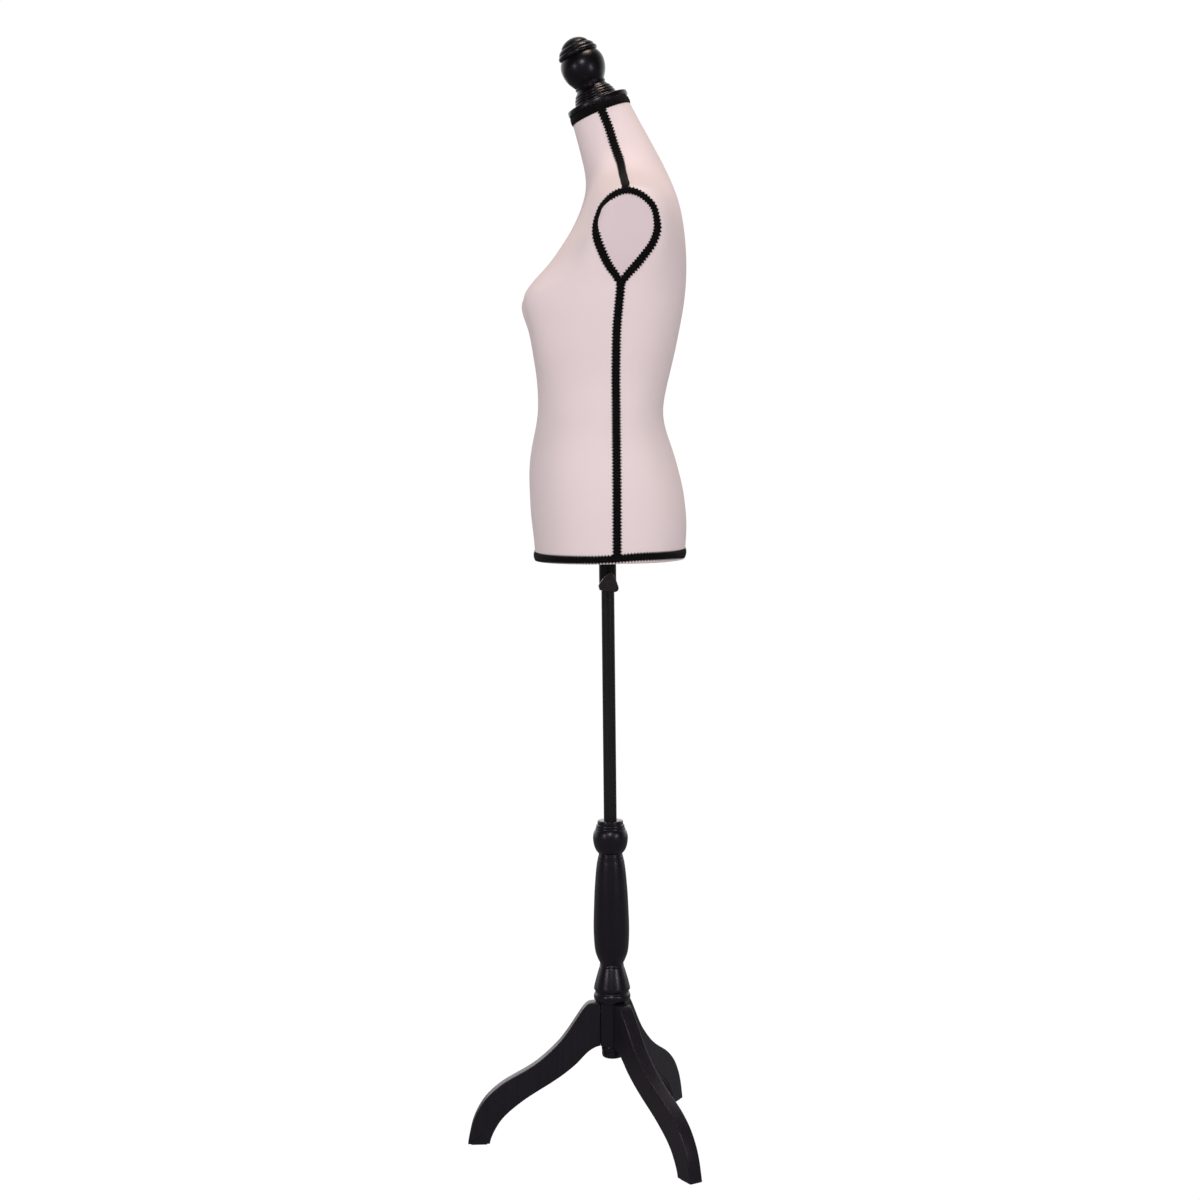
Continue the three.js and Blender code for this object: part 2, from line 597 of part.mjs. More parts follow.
const FLANGE_FOOT = HEM_Z - 5;
const FLANGE_SCREW_PITCH_R = 23.5;
const flangeScrewFrames = [90, 210, 330].map((degrees) => {
  const angle = THREE.MathUtils.degToRad(degrees);
  return moved(FLANGE_SCREW_PITCH_R * Math.cos(angle), FLANGE_SCREW_PITCH_R * Math.sin(angle), 0);
});
const drill = (made) =>
  flangeScrewFrames.reduce((rest, frame) => rest.subtract(rod(2.3, 905, 925, 10, frame)), made);
const FLANGE_SCREW = [
  [0,-2.6], [2.6,-2.6], [4.2,-1.4], [4.2,-GAP], [2,-GAP], [2,14], [0,14],
]; // [radius, z above FLANGE_FOOT]

add("base_board", drill(board(HEM_Z + GAP, HEM_Z + 12)), BOARD);
add("chest_board", board(1296, 1306), BOARD);
const hemOutline = bodyRing(HEM_Z, -1.2).map(({ x, y }) => [x, y]);
const bottomCover = plate(hemOutline, HEM_Z - 1.6, HEM_Z - GAP).subtract(sleeveHole);
add("bottom_cover", drill(bottomCover), JERSEY);
const sleeve = tube(SLEEVE_BORE, SLEEVE_R, SLEEVE_FOOT, SLEEVE_TOP);
add("sleeve_tube", sleeve.subtract(rodX(SCREW_R + LOOSE, 5, 20, CLAMP_Z, 16)), STEEL);
add("socket_flange", drill(tube(SLEEVE_R + LOOSE, 32, FLANGE_FOOT, HEM_Z - 2)), STEEL);
flangeScrewFrames.forEach((frame, i) => {
  const profile = FLANGE_SCREW.map(([radius, z]) => [radius, FLANGE_FOOT + z]);
  add("flange_screw_" + (i + 1), turned(profile, 12, frame), ZINC);
});

// ---------------------------------------------------------------- bushes and clamp
const bush = (z0, z1) => tube(POLE_R + 0.2, SLEEVE_BORE - 0.2, z0, z1);
add("lower_bush", bush(890, 912), NYLON);
add("upper_bush", bush(985, 1005), NYLON);

// Hexagonal nut, hollowed to sit against the sleeve.
const clampNut = rodX(8.6, 11, 21, CLAMP_Z, 6)
  .subtract(rodX(SCREW_R + 0.35, 5, 25, CLAMP_Z, 16))
  .subtract(rod(SLEEVE_R + GAP, 860, 900, 24));
add("clamp_nut", clampNut, STEEL);
add("clamp_pad", rodX(3.6, POLE_R + GAP, 12, CLAMP_Z, 16), NYLON);
add("clamp_screw", rodX(SCREW_R, 12.2, 33, CLAMP_Z, 16), ZINC);

// Three-lobed knob with a round boss.
const knobOutline = Array.from({ length: 30 }, (_, i) => {
  const angle = (2 * Math.PI * i) / 30;
  const phase = angle - Math.PI / 2;
  const radius = 12.9 + 3.5 * Math.cos(3 * phase) + 0.5 * Math.cos(6 * phase);
  return [radius * Math.cos(angle), radius * Math.sin(angle)];
});
const knobFrame = moved(27, 0, CLAMP_Z).multiply(SIDE_ON);
const knobBoss = [[0, 22], [8, 22], [8.6, 22.8], [8.6, 30], [0, 30]]; // [radius, x]
const knob = extruded(knobOutline, 8, knobFrame, { height: 2, inset: 1.6 })
  .add(turned(knobBoss, 20, alongX(CLAMP_Z)))
  .subtract(rodX(SCREW_R + GAP, 10, 33.4, CLAMP_Z, 16));
add("clamp_knob", knob, KNOB);

// ---------------------------------------------------------------- pole and column
add("pole", tube(POLE_BORE, POLE_R, POLE_FOOT + GAP, POLE_TOP), STEEL);
const PLUG_R = POLE_BORE - GAP;
const PLUG_RIM_R = POLE_R - 0.2;
const PLUG_RIM_Z = POLE_TOP + GAP;
add("pole_plug", turned([
  [0, 1002], [PLUG_R, 1002], [PLUG_R, PLUG_RIM_Z], [PLUG_RIM_R, PLUG_RIM_Z],
  [PLUG_RIM_R, PLUG_RIM_Z + 2], [0, PLUG_RIM_Z + 2],
], 20), NYLON);

const COLUMN_STUD = { radius: 5, foot: 188.4, top: 262 };
const COLUMN_STUD_BORE = COLUMN_STUD.radius + LOOSE;
const SOCKET_R = POLE_R + 0.35;
add("column", turned([
  [0, COLUMN_STUD.top + GAP], [COLUMN_STUD_BORE, COLUMN_STUD.top + GAP],
  [COLUMN_STUD_BORE, COLUMN_FOOT], ...COLUMN,
  [SOCKET_R, COLUMN_TOP], [SOCKET_R, POLE_FOOT], [0, POLE_FOOT],
], 22), BLACK_WOOD);
add("column_stud", rod(COLUMN_STUD.radius, COLUMN_STUD.foot, COLUMN_STUD.top, 12), ZINC);

// ---------------------------------------------------------------- hub and legs
// Pins from hub to leg: x runs out from the pole axis; holes are GAP wider all round.
const BOLT = { z: 170, radius: 3, inner: 5.5, outer: 58 };
const DOWEL = { z: 204, radius: 4, inner: 8.5, outer: 42 };
const PIN_END_GAP = 0.5;
const pin = ({ radius, inner, outer, z }) => rodX(radius, inner, outer, z, 12);

function makeHub() {
  const cornerR = HUB_APOTHEM / Math.cos(Math.PI / 6);
  const hexagon = [0, 1, 2, 3, 4, 5].map((i) => {
    const angle = THREE.MathUtils.degToRad(60 * i + STAND_TURN);
    return [cornerR * Math.cos(angle), cornerR * Math.sin(angle)];
  });
  const stub = turned([
    [0, STUB_FOOT], [12.6, STUB_FOOT], [15.6, STUB_FOOT + 1.8], [STUB_R, STUB_FOOT + 5],
    [STUB_R, HUB_FOOT + 2], [0, HUB_FOOT + 2],
  ], 24);
  let hub = plate(hexagon, HUB_FOOT, HUB_TOP)
    .add(stub)
    .subtract(rod(COLUMN_STUD.radius + GAP, 188, 230, 16));
  for (const degrees of Object.values(LEG_ANGLES)) {
    for (const { z, radius, inner } of [BOLT, DOWEL]) {
      const turn = new THREE.Matrix4().makeRotationZ(THREE.MathUtils.degToRad(degrees));
      const frame = turn.multiply(alongX(z));
      hub = hub.subtract(rod(radius + GAP, inner - PIN_END_GAP, 40, 12, frame));
    }
  }
  return hub;
}
add("hub", makeHub(), BLACK_WOOD);

// One leg along +X, with chamfered edges.
function makeLeg() {
  const chamfer = 2.5;
  const depth = LEG_T - 2 * chamfer;
  const frame = axes([1, 0, 0], [0, 0, 1], [0, -1, 0]).multiply(moved(0, 0, -depth / 2));
  return [BOLT, DOWEL].reduce(
    (made, { radius, outer, z }) =>
      made.subtract(rodX(radius + GAP, 0, outer + PIN_END_GAP, z, 12)),
    extruded(LEG, depth, frame, { height: chamfer, inset: chamfer }),
  );
}
const leg = makeLeg();
const footPad = plate([[198.5, -8], [223, -8], [223, 8], [198.5, 8]], 0, FOOT_PAD_T);
for (const [name, degrees] of Object.entries(LEG_ANGLES)) {
  const arm = new THREE.Group();
  arm.rotation.z = THREE.MathUtils.degToRad(degrees);
  model.add(arm);
  add("leg_" + name, leg, BLACK_WOOD, arm);
  add("leg_bolt_" + name, pin(BOLT), ZINC, arm);
  add("leg_dowel_" + name, pin(DOWEL), BOARD, arm);
  add("foot_pad_" + name, footPad, FELT, arm);
}

// The origin is the middle of the bounding box's lower face.
const root = new THREE.Group();
root.add(model);
root.updateMatrixWorld(true);
const box = new THREE.Box3().setFromObject(model, true);
model.position.set(-(box.min.x + box.max.x) / 2, -(box.min.y + box.max.y) / 2, -box.min.z);

export default root;
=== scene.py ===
# A dress form: a jersey-covered torso with black braids, a neck cap and a turned finial, clamped on
# a steel pole that stands in a turned column over a hexagonal hub and three sawn legs.
# It faces -Y, its back is +Y and its left is +X. Z is up from the floor at z = 0. All shapes are
# worked out in mm with the pole axis at x = y = 0, and mesh_object moves them into the row frame.
import json
import math

import bmesh
import bpy
import numpy as np
from mathutils import Matrix, Vector
from mathutils.bvhtree import BVHTree


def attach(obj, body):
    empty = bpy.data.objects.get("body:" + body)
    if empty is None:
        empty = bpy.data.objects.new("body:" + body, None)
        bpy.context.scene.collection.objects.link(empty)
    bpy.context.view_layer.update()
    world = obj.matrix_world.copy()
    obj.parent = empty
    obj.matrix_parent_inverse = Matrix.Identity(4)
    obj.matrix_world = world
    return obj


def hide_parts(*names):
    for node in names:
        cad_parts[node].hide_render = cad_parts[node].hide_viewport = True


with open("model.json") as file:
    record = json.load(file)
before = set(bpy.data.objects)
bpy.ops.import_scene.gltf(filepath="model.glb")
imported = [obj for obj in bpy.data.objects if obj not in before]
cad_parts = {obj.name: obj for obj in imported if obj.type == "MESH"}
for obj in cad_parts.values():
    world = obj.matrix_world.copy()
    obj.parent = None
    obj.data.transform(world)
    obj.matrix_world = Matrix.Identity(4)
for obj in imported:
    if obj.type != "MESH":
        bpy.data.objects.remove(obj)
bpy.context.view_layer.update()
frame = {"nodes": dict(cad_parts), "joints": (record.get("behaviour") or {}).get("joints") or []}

JOINTS = {joint["name"]: joint for joint in frame["joints"]}
POLE_X, POLE_Y = (float(v) * 1000.0 for v in JOINTS["torso_turn"]["pos_m"][:2])

# ------------------------------------------------------------------ main sizes, mm
HEM_Z = 914.0
NECK_Y, NECK_Z = -6.0, 1598.0       # middle of the neck opening
TILT = math.radians(21.3)           # forward lean of the neck opening
STAND_TURN = -1.6                   # degrees the stand is turned round the pole against the torso
SLEEVE_HOLE = 13.6                  # radius left free for the sleeve in the flange and bottom cover
CLAMP_Z = 878.0                     # height of the clamp screw's axis
AROUND = 264      # points in a ring of the torso
BRAID_STEP = 0.5

# ------------------------------------------------------------------ torso outline tables, mm
# Front outline seen from the side: (z, y)
FRONT = [
    (880, -110.3), (914, -111), (940, -111.9), (980, -116), (1020, -117.8), (1045, -118.1),
    (1070, -116.3), (1100, -110.9), (1130, -105), (1155, -103.4), (1180, -104.2), (1210, -106.8),
    (1240, -110.5), (1265, -114.7), (1285, -121.1), (1300, -125), (1313, -123.4), (1325, -115.6),
    (1340, -102.5), (1360, -84.6), (1384, -68.2), (1408, -52.7), (1432, -40.1), (1456, -31.1),
    (1475, -27), (1492, -27), (1516, -31.2), (1540, -37.1), (1564, -43.4), (1588, -49.8),
    (1640, -63)]
# Back outline: (z, y)
BACK = [
    (880, 113.8), (914, 116.8), (940, 118.7), (969, 119.8), (994, 118.2), (1018, 115.2),
    (1043, 109.9), (1067, 103.8), (1092, 96), (1116, 89), (1141, 86.8), (1165, 90.2),
    (1189, 95.8), (1225, 104.5), (1262, 112.3), (1298, 118.8), (1334, 122.7), (1364, 123.3),
    (1394, 121.7), (1430, 117.1), (1454, 112.1), (1478, 105), (1502, 94.7), (1526, 82.6),
    (1550, 69.7), (1574, 56.5), (1598, 43.5), (1640, 21)]
# Front of the rib cage without the bust: (z, y). It is the front outline below and above the chest.
CHEST = FRONT[:8] + [
    (1130, -105.2), (1155, -102), (1185, -100.8), (1220, -99.6), (1260, -97.8), (1300, -94.2),
    (1330, -88.2), (1360, -77), (1390, -62.1), (1420, -46.3), (1440, -36.9)] + FRONT[-8:]
# Half width: (z, x)
WIDTH = [
    (880, 146), (914, 149.5), (940, 152.5), (975, 156), (1010, 157.5), (1040, 155.5),
    (1070, 149), (1100, 137.5), (1128, 124), (1150, 116), (1172, 113.6), (1198, 117),
    (1230, 125.5), (1265, 134.5), (1295, 142.5), (1320, 150.5), (1340, 161.5), (1360, 175),
    (1385, 193), (1410, 203), (1428, 204), (1442, 197), (1454, 182.5), (1464, 157),
    (1474, 127), (1484, 100.5), (1496, 79.5), (1510, 66), (1527, 57), (1548, 51.6),
    (1572, 48), (1600, 46.6), (1640, 46.5)]
# Where the torso is widest: (z, y)
SIDE_Y = [
    (880, 4), (914, 5), (1000, 5), (1140, 6), (1250, 7), (1300, 9.5), (1324, 13), (1360, 18.5),
    (1400, 22), (1440, 25), (1470, 27.5), (1500, 29), (1520, 25.5), (1550, 15), (1574, 5),
    (1598, -4), (1640, -20)]
# Exponent of the superellipse cross-section: (z, exponent)
ROUNDNESS = [
    (880, 2.4), (914, 2.4), (1000, 2.4), (1140, 2.15), (1240, 2.25), (1300, 2.3), (1340, 2.15),
    (1400, 1.95), (1440, 1.85), (1465, 1.8), (1490, 1.9), (1510, 2.0), (1550, 2.0), (1640, 2.0)]
# Flat arm plates that cut off the sides: (z, x)
ARM_PLATE = [
    (880, 500), (1200, 330), (1270, 205), (1300, 166), (1324, 155.5), (1350, 160.0),
    (1452, 179.5), (1500, 188.5), (1640, 215)]
# Seams and the armhole loop, seen from the side: (y, z)
SIDE_SEAM = [
    (4.3, 900), (4.3, 914), (4.4, 1000), (4.9, 1050), (6.0, 1100), (7.5, 1145), (7.7, 1200),
    (8.0, 1235), (8.7, 1259), (10.0, 1276), (11.6, 1294), (13.0, 1308), (14.2, 1322.8)]
SHOULDER_SEAM = [
    (20.6, 1453), (21.1, 1465.9), (21.9, 1479), (21.9, 1492), (20.9, 1504.6), (18.3, 1515.2),
    (15.5, 1524.9), (12.6, 1534.1), (10.1, 1543.3), (7.5, 1552.5), (4.7, 1561.5), (1.3, 1570.4),
    (-5, 1586), (-14, 1615)]
ARMHOLE = [
    (18.4, 1449.4), (8.9, 1446.9), (0.3, 1443), (-8.3, 1435.8), (-12.6, 1431), (-17.8, 1420.3),
    (-21.5, 1409), (-23.1, 1397.7), (-22.6, 1386.3), (-19.3, 1375), (-14.6, 1363.6),
    (-9, 1352.2), (-1.2, 1340.8), (6.9, 1331), (13.8, 1323.6), (21, 1330.2), (29.6, 1340.6),
    (39.5, 1352), (48.7, 1363.3), (57.1, 1374.7), (62.4, 1386), (65.1, 1397.4), (64.8, 1408.7),
    (62.8, 1420.1), (57.6, 1430.6), (51.8, 1436.6), (43.3, 1443.2), (34.7, 1447.4),
    (26.5, 1449.4)]

BUST_X, BUST_Z = 83.0, 1299.0
BUST_DEPTH = 41.0
BUST_SPREAD_X, BUST_SPREAD_UP, BUST_SPREAD_DOWN = 57.0, 58.0, 84.0
NECK_LEAN_START = 1455              # height where the rings begin to tilt
NECK_CENTRE_START = 1540            # height where ring centres begin to move to the neck's middle
PLATE_SHARPNESS = 24.0              # the higher, the crisper the edge of the arm plates


# ------------------------------------------------------------------ curves
def smooth01(value):
    value = np.clip(value, 0, 1)
    return value * value * (3 - 2 * value)


def spline(table):
    """Natural cubic spline through (x, y) knots, as a function of an array."""
    xs, ys = np.array(table, float).T
    count = len(xs)
    gap = np.diff(xs)
    left = np.zeros((count, count))
    right = np.zeros(count)
    left[0, 0] = left[-1, -1] = 1
    for i in range(1, count - 1):
        left[i, i - 1:i + 2] = gap[i - 1], 2 * (gap[i - 1] + gap[i]), gap[i]
        right[i] = 6 * ((ys[i + 1] - ys[i]) / gap[i] - (ys[i] - ys[i - 1]) / gap[i - 1])
    bend = np.linalg.solve(left, right)

    def value(x):
        x = np.clip(np.asarray(x, float), xs[0], xs[-1])
        i = np.clip(np.searchsorted(xs, x) - 1, 0, count - 2)
        after, before = xs[i + 1] - x, x - xs[i]
        h = gap[i]
        return ((bend[i] * after ** 3 + bend[i + 1] * before ** 3) / (6 * h)
                + (ys[i] / h - bend[i] * h / 6) * after
                + (ys[i + 1] / h - bend[i + 1] * h / 6) * before)
    return value


def lengths_along(points):
    return np.r_[0, np.cumsum(np.linalg.norm(np.diff(points, axis=0), axis=1))]


def curve_through(points):
    """Lengths at the knots of a plane curve, and a function from lengths to points."""
    points = np.array(points, float)
    lengths = lengths_along(points)
    parts = [spline(np.c_[lengths, points[:, i]]) for i in (0, 1)]
    return lengths, lambda at: np.stack([part(at) for part in parts], axis=1)


front_y, back_y, chest_y, half_width, side_y, roundness, plate_x = [
    spline(table) for table in (FRONT, BACK, CHEST, WIDTH, SIDE_Y, ROUNDNESS, ARM_PLATE)]


# ------------------------------------------------------------------ torso surface
def bust(x, z):
    """How far the bust stands out in front of the rib cage."""
    across = (np.exp(-((x - BUST_X) / BUST_SPREAD_X) ** 2)
              + np.exp(-((x + BUST_X) / BUST_SPREAD_X) ** 2))
    across /= 1 + math.exp(-(2 * BUST_X / BUST_SPREAD_X) ** 2)
    rise = z - BUST_Z
    spread = np.where(rise > 0, BUST_SPREAD_UP, BUST_SPREAD_DOWN)
    return BUST_DEPTH * across * np.exp(-(rise / spread) ** 2)


def gauge(x, y, z):
    """Below 1 inside the torso without its bust, above 1 outside."""
    middle = side_y(z)
    power = roundness(z)
    depth = np.where(y < middle, middle - chest_y(z), back_y(z) - middle)
    body = (np.abs(x / half_width(z)) ** power
            + np.abs((y - middle) / depth) ** power) ** (1 / power)
    plate = np.abs(x) / plate_x(z)
    return (body ** PLATE_SHARPNESS + plate ** PLATE_SHARPNESS) ** (1 / PLATE_SHARPNESS)


def surface(height, angle):
    """Points for ring heights and angles (0 is +x, pi/2 the back, -pi/2 the front)."""
    height, angle = np.broadcast_arrays(np.asarray(height, float), np.asarray(angle, float))
    lean = TILT * smooth01((height - NECK_LEAN_START) / (NECK_Z - NECK_LEAN_START))
    shift = np.clip((height - NECK_CENTRE_START) / (NECK_Z - NECK_CENTRE_START), 0, 1)
    centre_y = side_y(np.minimum(height, NECK_Z)) * (1 - shift) + NECK_Y * shift
    dx = np.cos(angle)
    dy = np.sin(angle) * np.cos(lean)
    dz = np.sin(angle) * np.sin(lean)
    low, high = np.zeros_like(height), np.full_like(height, 260.0)
    for _ in range(32):
        reach = (low + high) / 2
        inside = gauge(reach * dx, centre_y + reach * dy, height + reach * dz) < 1
        low = np.where(inside, reach, low)
        high = np.where(inside, high, reach)
    reach = (low + high) / 2
    x, y, z = reach * dx, centre_y + reach * dy, height + reach * dz
    return x, y - bust(x, z) * np.clip(-np.sin(angle), 0, 1) ** 0.6, z


def ring_angles(count):
    return -math.pi / 2 + 2 * math.pi * (np.arange(count) + 0.5) / count


def front_stretch():
    """Heights, and the smoothed factor at each that brings the front out to the FRONT table."""
    heights = np.r_[np.arange(880, 1500, 5.0), np.arange(1500, 1641, 10.0)]
    reached = surface(heights[:, None], np.linspace(-math.pi, 0, 91)[None, :])[1].min(axis=1)
    middle = side_y(heights)
    fade = np.clip((1470 - heights) / 60, 0, 1)
    factor = 1 + ((front_y(heights) - middle) / (reached - middle) - 1) * fade
    weights = np.array([1, 2, 3, 2, 1.0])
    weights /= weights.sum()
    return heights, np.r_[factor[:2], np.convolve(factor, weights, "valid"), factor[-2:]]


STRETCH_Z, STRETCH = front_stretch()


def torso_points(height, angle):
    x, y, z = surface(height, angle)
    middle = side_y(height)
    factor = np.interp(height, STRETCH_Z, STRETCH)
    y = np.where(y < middle, middle + (y - middle) * factor, y)
    return np.stack([x, y, z], axis=-1)


def torso_rings(heights, count=AROUND):
    """Rings of torso points, shape (rings, count, 3)."""
    return torso_points(np.asarray(heights, float)[:, None], ring_angles(count)[None, :])


def grid_normals(points):
    """Outward unit normals of a grid of rings that each close round."""
    around = np.roll(points, -1, axis=1) - np.roll(points, 1, axis=1)
    normals = np.cross(around, np.gradient(points, axis=0))
    return normals / np.linalg.norm(normals, axis=-1, keepdims=True)


def hem_lift(points):
    """Raise the back half of the hem, fading out near the pole and 64 mm above the hem."""
    points = np.array(points, float)
    x, y, z = np.moveaxis(points, -1, 0)
    from_pole = smooth01((np.hypot(x, y) - 45) / 55)
    points[..., 2] += 1.2 * smooth01((y + 35) / 90) * smooth01((978 - z) / 60) * from_pole
    return points


# ------------------------------------------------------------------ mesh helpers
# A placement is a 4 x 3 array: the directions of local x, y and z, then the origin.
def placed(points, placement):
    return points @ placement[:3] + placement[3]


NECK_PLACE = np.vstack([np.array(Matrix.Rotation(TILT, 3, "X")).T, (0, NECK_Y, NECK_Z)])
# Local z runs along +x, on the clamp screw's axis
CLAMP_PLACE = np.array([(0, 0, -1), (0, 1, 0), (1, 0, 0), (0, 0, CLAMP_Z)], float)


def to_row(points):
    """From mm about the pole axis to metres in the row frame."""
    return (np.array(points, float).reshape(-1, 3) + (POLE_X, POLE_Y, 0)) / 1000.0


def mesh_object(name, points, faces, uv=None):
    """A smooth mesh object from points in mm; uv holds one (u, v) per point."""
    mesh = bpy.data.meshes.new(name)
    mesh.from_pydata(to_row(points).tolist(), [], [list(map(int, face)) for face in faces])
    mesh.update()
    mesh.polygons.foreach_set("use_smooth", [True] * len(mesh.polygons))
    if uv is not None:
        layer = mesh.uv_layers.new(name="UVMap")
        corners = np.zeros(len(mesh.loops), np.int32)
        mesh.loops.foreach_get("vertex_index", corners)
        layer.data.foreach_set("uv", np.asarray(uv, np.float32)[corners].ravel())
    ob = bpy.data.objects.new(name, mesh)
    bpy.context.scene.collection.objects.link(ob)
    return ob


def ring_faces(rings, around, closed=False):
    """Quads between rings of points; closed joins the last ring to the first."""
    faces = []
    here = np.arange(around)
    after = (here + 1) % around
    for i in range(rings if closed else rings - 1):
        low, high = i * around, (i + 1) % rings * around
        faces.append(np.stack([low + here, low + after, high + after, high + here], axis=1))
    return np.concatenate(faces)


def capped_faces(rings, around):
    """Quads between rings, with one face over each end."""
    last = (rings - 1) * around
    caps = [list(range(around))[::-1], list(range(last, last + around))]
    return [list(face) for face in ring_faces(rings, around)] + caps


def shell(outer, inner, faces):
    """A closed sheet between two matching point sets: its points, faces and source indices."""
    used, local = np.unique(faces, return_inverse=True)
    local = local.reshape(faces.shape)
    count = len(used)
    edges = dict.fromkeys(
        (int(a), int(b)) for face in local for a, b in zip(face, np.roll(face, -1)))
    rim = [(a, b) for a, b in edges if (b, a) not in edges]
    sheet = [tuple(face) for face in local]
    sheet += [tuple(face[::-1] + count) for face in local]
    sheet += [(b, a, a + count, b + count) for a, b in rim]
    return np.vstack([outer[used], inner[used]]), sheet, np.r_[used, used]


def sharp_edges(ob, degrees):
    """Mark edges that turn more than this as crisp."""
    edit = bmesh.new()
    edit.from_mesh(ob.data)
    limit = math.radians(degrees)
    for edge in edit.edges:
        edge.smooth = not (len(edge.link_faces) == 2 and edge.calc_face_angle(0) > limit)
    edit.to_mesh(ob.data)
    edit.free()


def profile_points(runs, step):
    """Points of a turning profile. A point in runs is reached by a straight line; a list of
    points is a smooth curve that carries on from the point before it."""
    points = []
    for run in runs:
        if isinstance(run, list):
            lengths, curve = curve_through([last] + run)
            samples = curve(np.linspace(0, lengths[-1], max(3, int(lengths[-1] / step))))
            last = run[-1]
        else:
            samples = [run]
            last = run
        for radius, z in samples:
            point = (max(float(radius), 0.0), float(z))
            if not points or math.dist(point, points[-1]) > 0.02:
                points.append(point)
    return points


def lathe(name, runs, step=0.3, segments=72, placement=None, crease=None):
    """Turned piece from (radius, height) runs that start and end on the axis, or close."""
    profile = profile_points(runs, step)
    closed = np.allclose(profile[0], profile[-1])
    if closed:
        profile = profile[:-1]
    angles = 2 * math.pi * np.arange(segments) / segments
    points, rows, faces = [], [], []
    for radius, z in profile:
        if radius < 1e-6:
            rows.append([len(points)] * segments)
            points.append((0.0, 0.0, z))
        else:
            rows.append(list(range(len(points), len(points) + segments)))
            points += [(radius * math.cos(a), radius * math.sin(a), z) for a in angles]
    for i in range(len(rows) if closed else len(rows) - 1):
        low, high = rows[i], rows[(i + 1) % len(rows)]
        for j in range(segments):
            k = (j + 1) % segments
            face = [low[j], low[k], high[k], high[j]]
            face = [v for at, v in enumerate(face) if v != face[at - 1]]
            if len(face) >= 3:
                faces.append(face)
    points = np.array(points)
    # A negative volume means that the faces look inwards
    volume = 0.0
    for face in faces:
        for i in range(1, len(face) - 1):
            a, b, c = points[[face[0], face[i], face[i + 1]]]
            volume += float(np.dot(a, np.cross(b, c)))
    if volume < 0:
        faces = [face[::-1] for face in faces]
    if placement is not None:
        points = placed(points, placement)
    ob = mesh_object(name, points, faces)
    if crease is not None:
        sharp_edges(ob, crease)
    return ob


def rounded_plate(name, contour, half, radius, placement, steps=5, support=0.8):
    """Plate with rounded arrises: contour in local x and y, thickness 2 * half along local z.
    support is the width of a flat strip inside each rounded edge."""
    contour = np.array(contour, float)
    before, after = np.roll(contour, 1, axis=0), np.roll(contour, -1, axis=0)
    if np.sum(contour[:, 0] * after[:, 1] - after[:, 0] * contour[:, 1]) < 0:
        contour = contour[::-1]
        before, after = np.roll(contour, 1, axis=0), np.roll(contour, -1, axis=0)
    normals = []
    for side in (contour - before, after - contour):
        side /= np.linalg.norm(side, axis=1, keepdims=True)
        normals.append(np.stack([side[:, 1], -side[:, 0]], axis=1))
    outward = normals[0] + normals[1]
    outward /= np.linalg.norm(outward, axis=1, keepdims=True)
    outward *= (1 / np.clip((outward * normals[0]).sum(1), 0.5, 1))[:, None]
    # Rings as (inset, z), through a quarter turn at each face
    turns = [math.pi / 2 * k / steps for k in range(steps + 1)]
    rings = [(radius + support, -half)]
    rings += [(radius * (1 - math.sin(a)), -half + radius * (1 - math.cos(a))) for a in turns]
    rings += [(radius * (1 - math.cos(a)), half - radius * (1 - math.sin(a))) for a in turns]
    rings.append((radius + support, half))
    count = len(contour)
    points = np.concatenate(
        [np.c_[contour - outward * inset, np.full(count, z)] for inset, z in rings])
    return mesh_object(name, placed(points, placement), capped_faces(len(rings), count))


def join(name, objects):
    """One object from several, keeping their meshes as they are."""
    for ob in bpy.context.selected_objects:
        ob.select_set(False)
    for ob in objects:
        ob.select_set(True)
    bpy.context.view_layer.objects.active = objects[0]
    bpy.ops.object.join()
    joined = bpy.context.view_layer.objects.active
    joined.name = joined.data.name = name
    joined.select_set(False)
    return joined


def dress(ob, material, body, node):
    ob.data.materials.append(material)
    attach(ob, body)
    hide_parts(node)


# ------------------------------------------------------------------ shader node helpers
class Nodes:
    """Builds nodes in a tree. An input may be given a value or another node's output."""

    def __init__(self, tree):
        self.tree = tree
        self.coordinates = None

    def feed(self, socket, value):
        if isinstance(value, bpy.types.NodeSocket):
            self.tree.links.new(value, socket)
        else:
            socket.default_value = (*value, 1) if socket.type == "RGBA" else value

    def node(self, kind, inputs=None, **settings):
        made = self.tree.nodes.new("ShaderNode" + kind)
        for key, value in settings.items():
            setattr(made, key, value)
        for key, value in (inputs or {}).items():
            self.feed(made.inputs[key], value)
        return made

    def coord(self, kind="Object"):
        if self.coordinates is None:
            self.coordinates = self.node("TexCoord")
        return self.coordinates.outputs[kind]

    def split(self, vector):
        return self.node("SeparateXYZ", {"Vector": vector}).outputs

    def math(self, operation, *values, clamp=False):
        inputs = dict(enumerate(values))
        return self.node("Math", inputs, operation=operation, use_clamp=clamp).outputs[0]

    def add(self, a, b, clamp=False):
        return self.math("ADD", a, b, clamp=clamp)

    def sub(self, a, b):
        return self.math("SUBTRACT", a, b)

    def mul(self, a, b):
        return self.math("MULTIPLY", a, b)


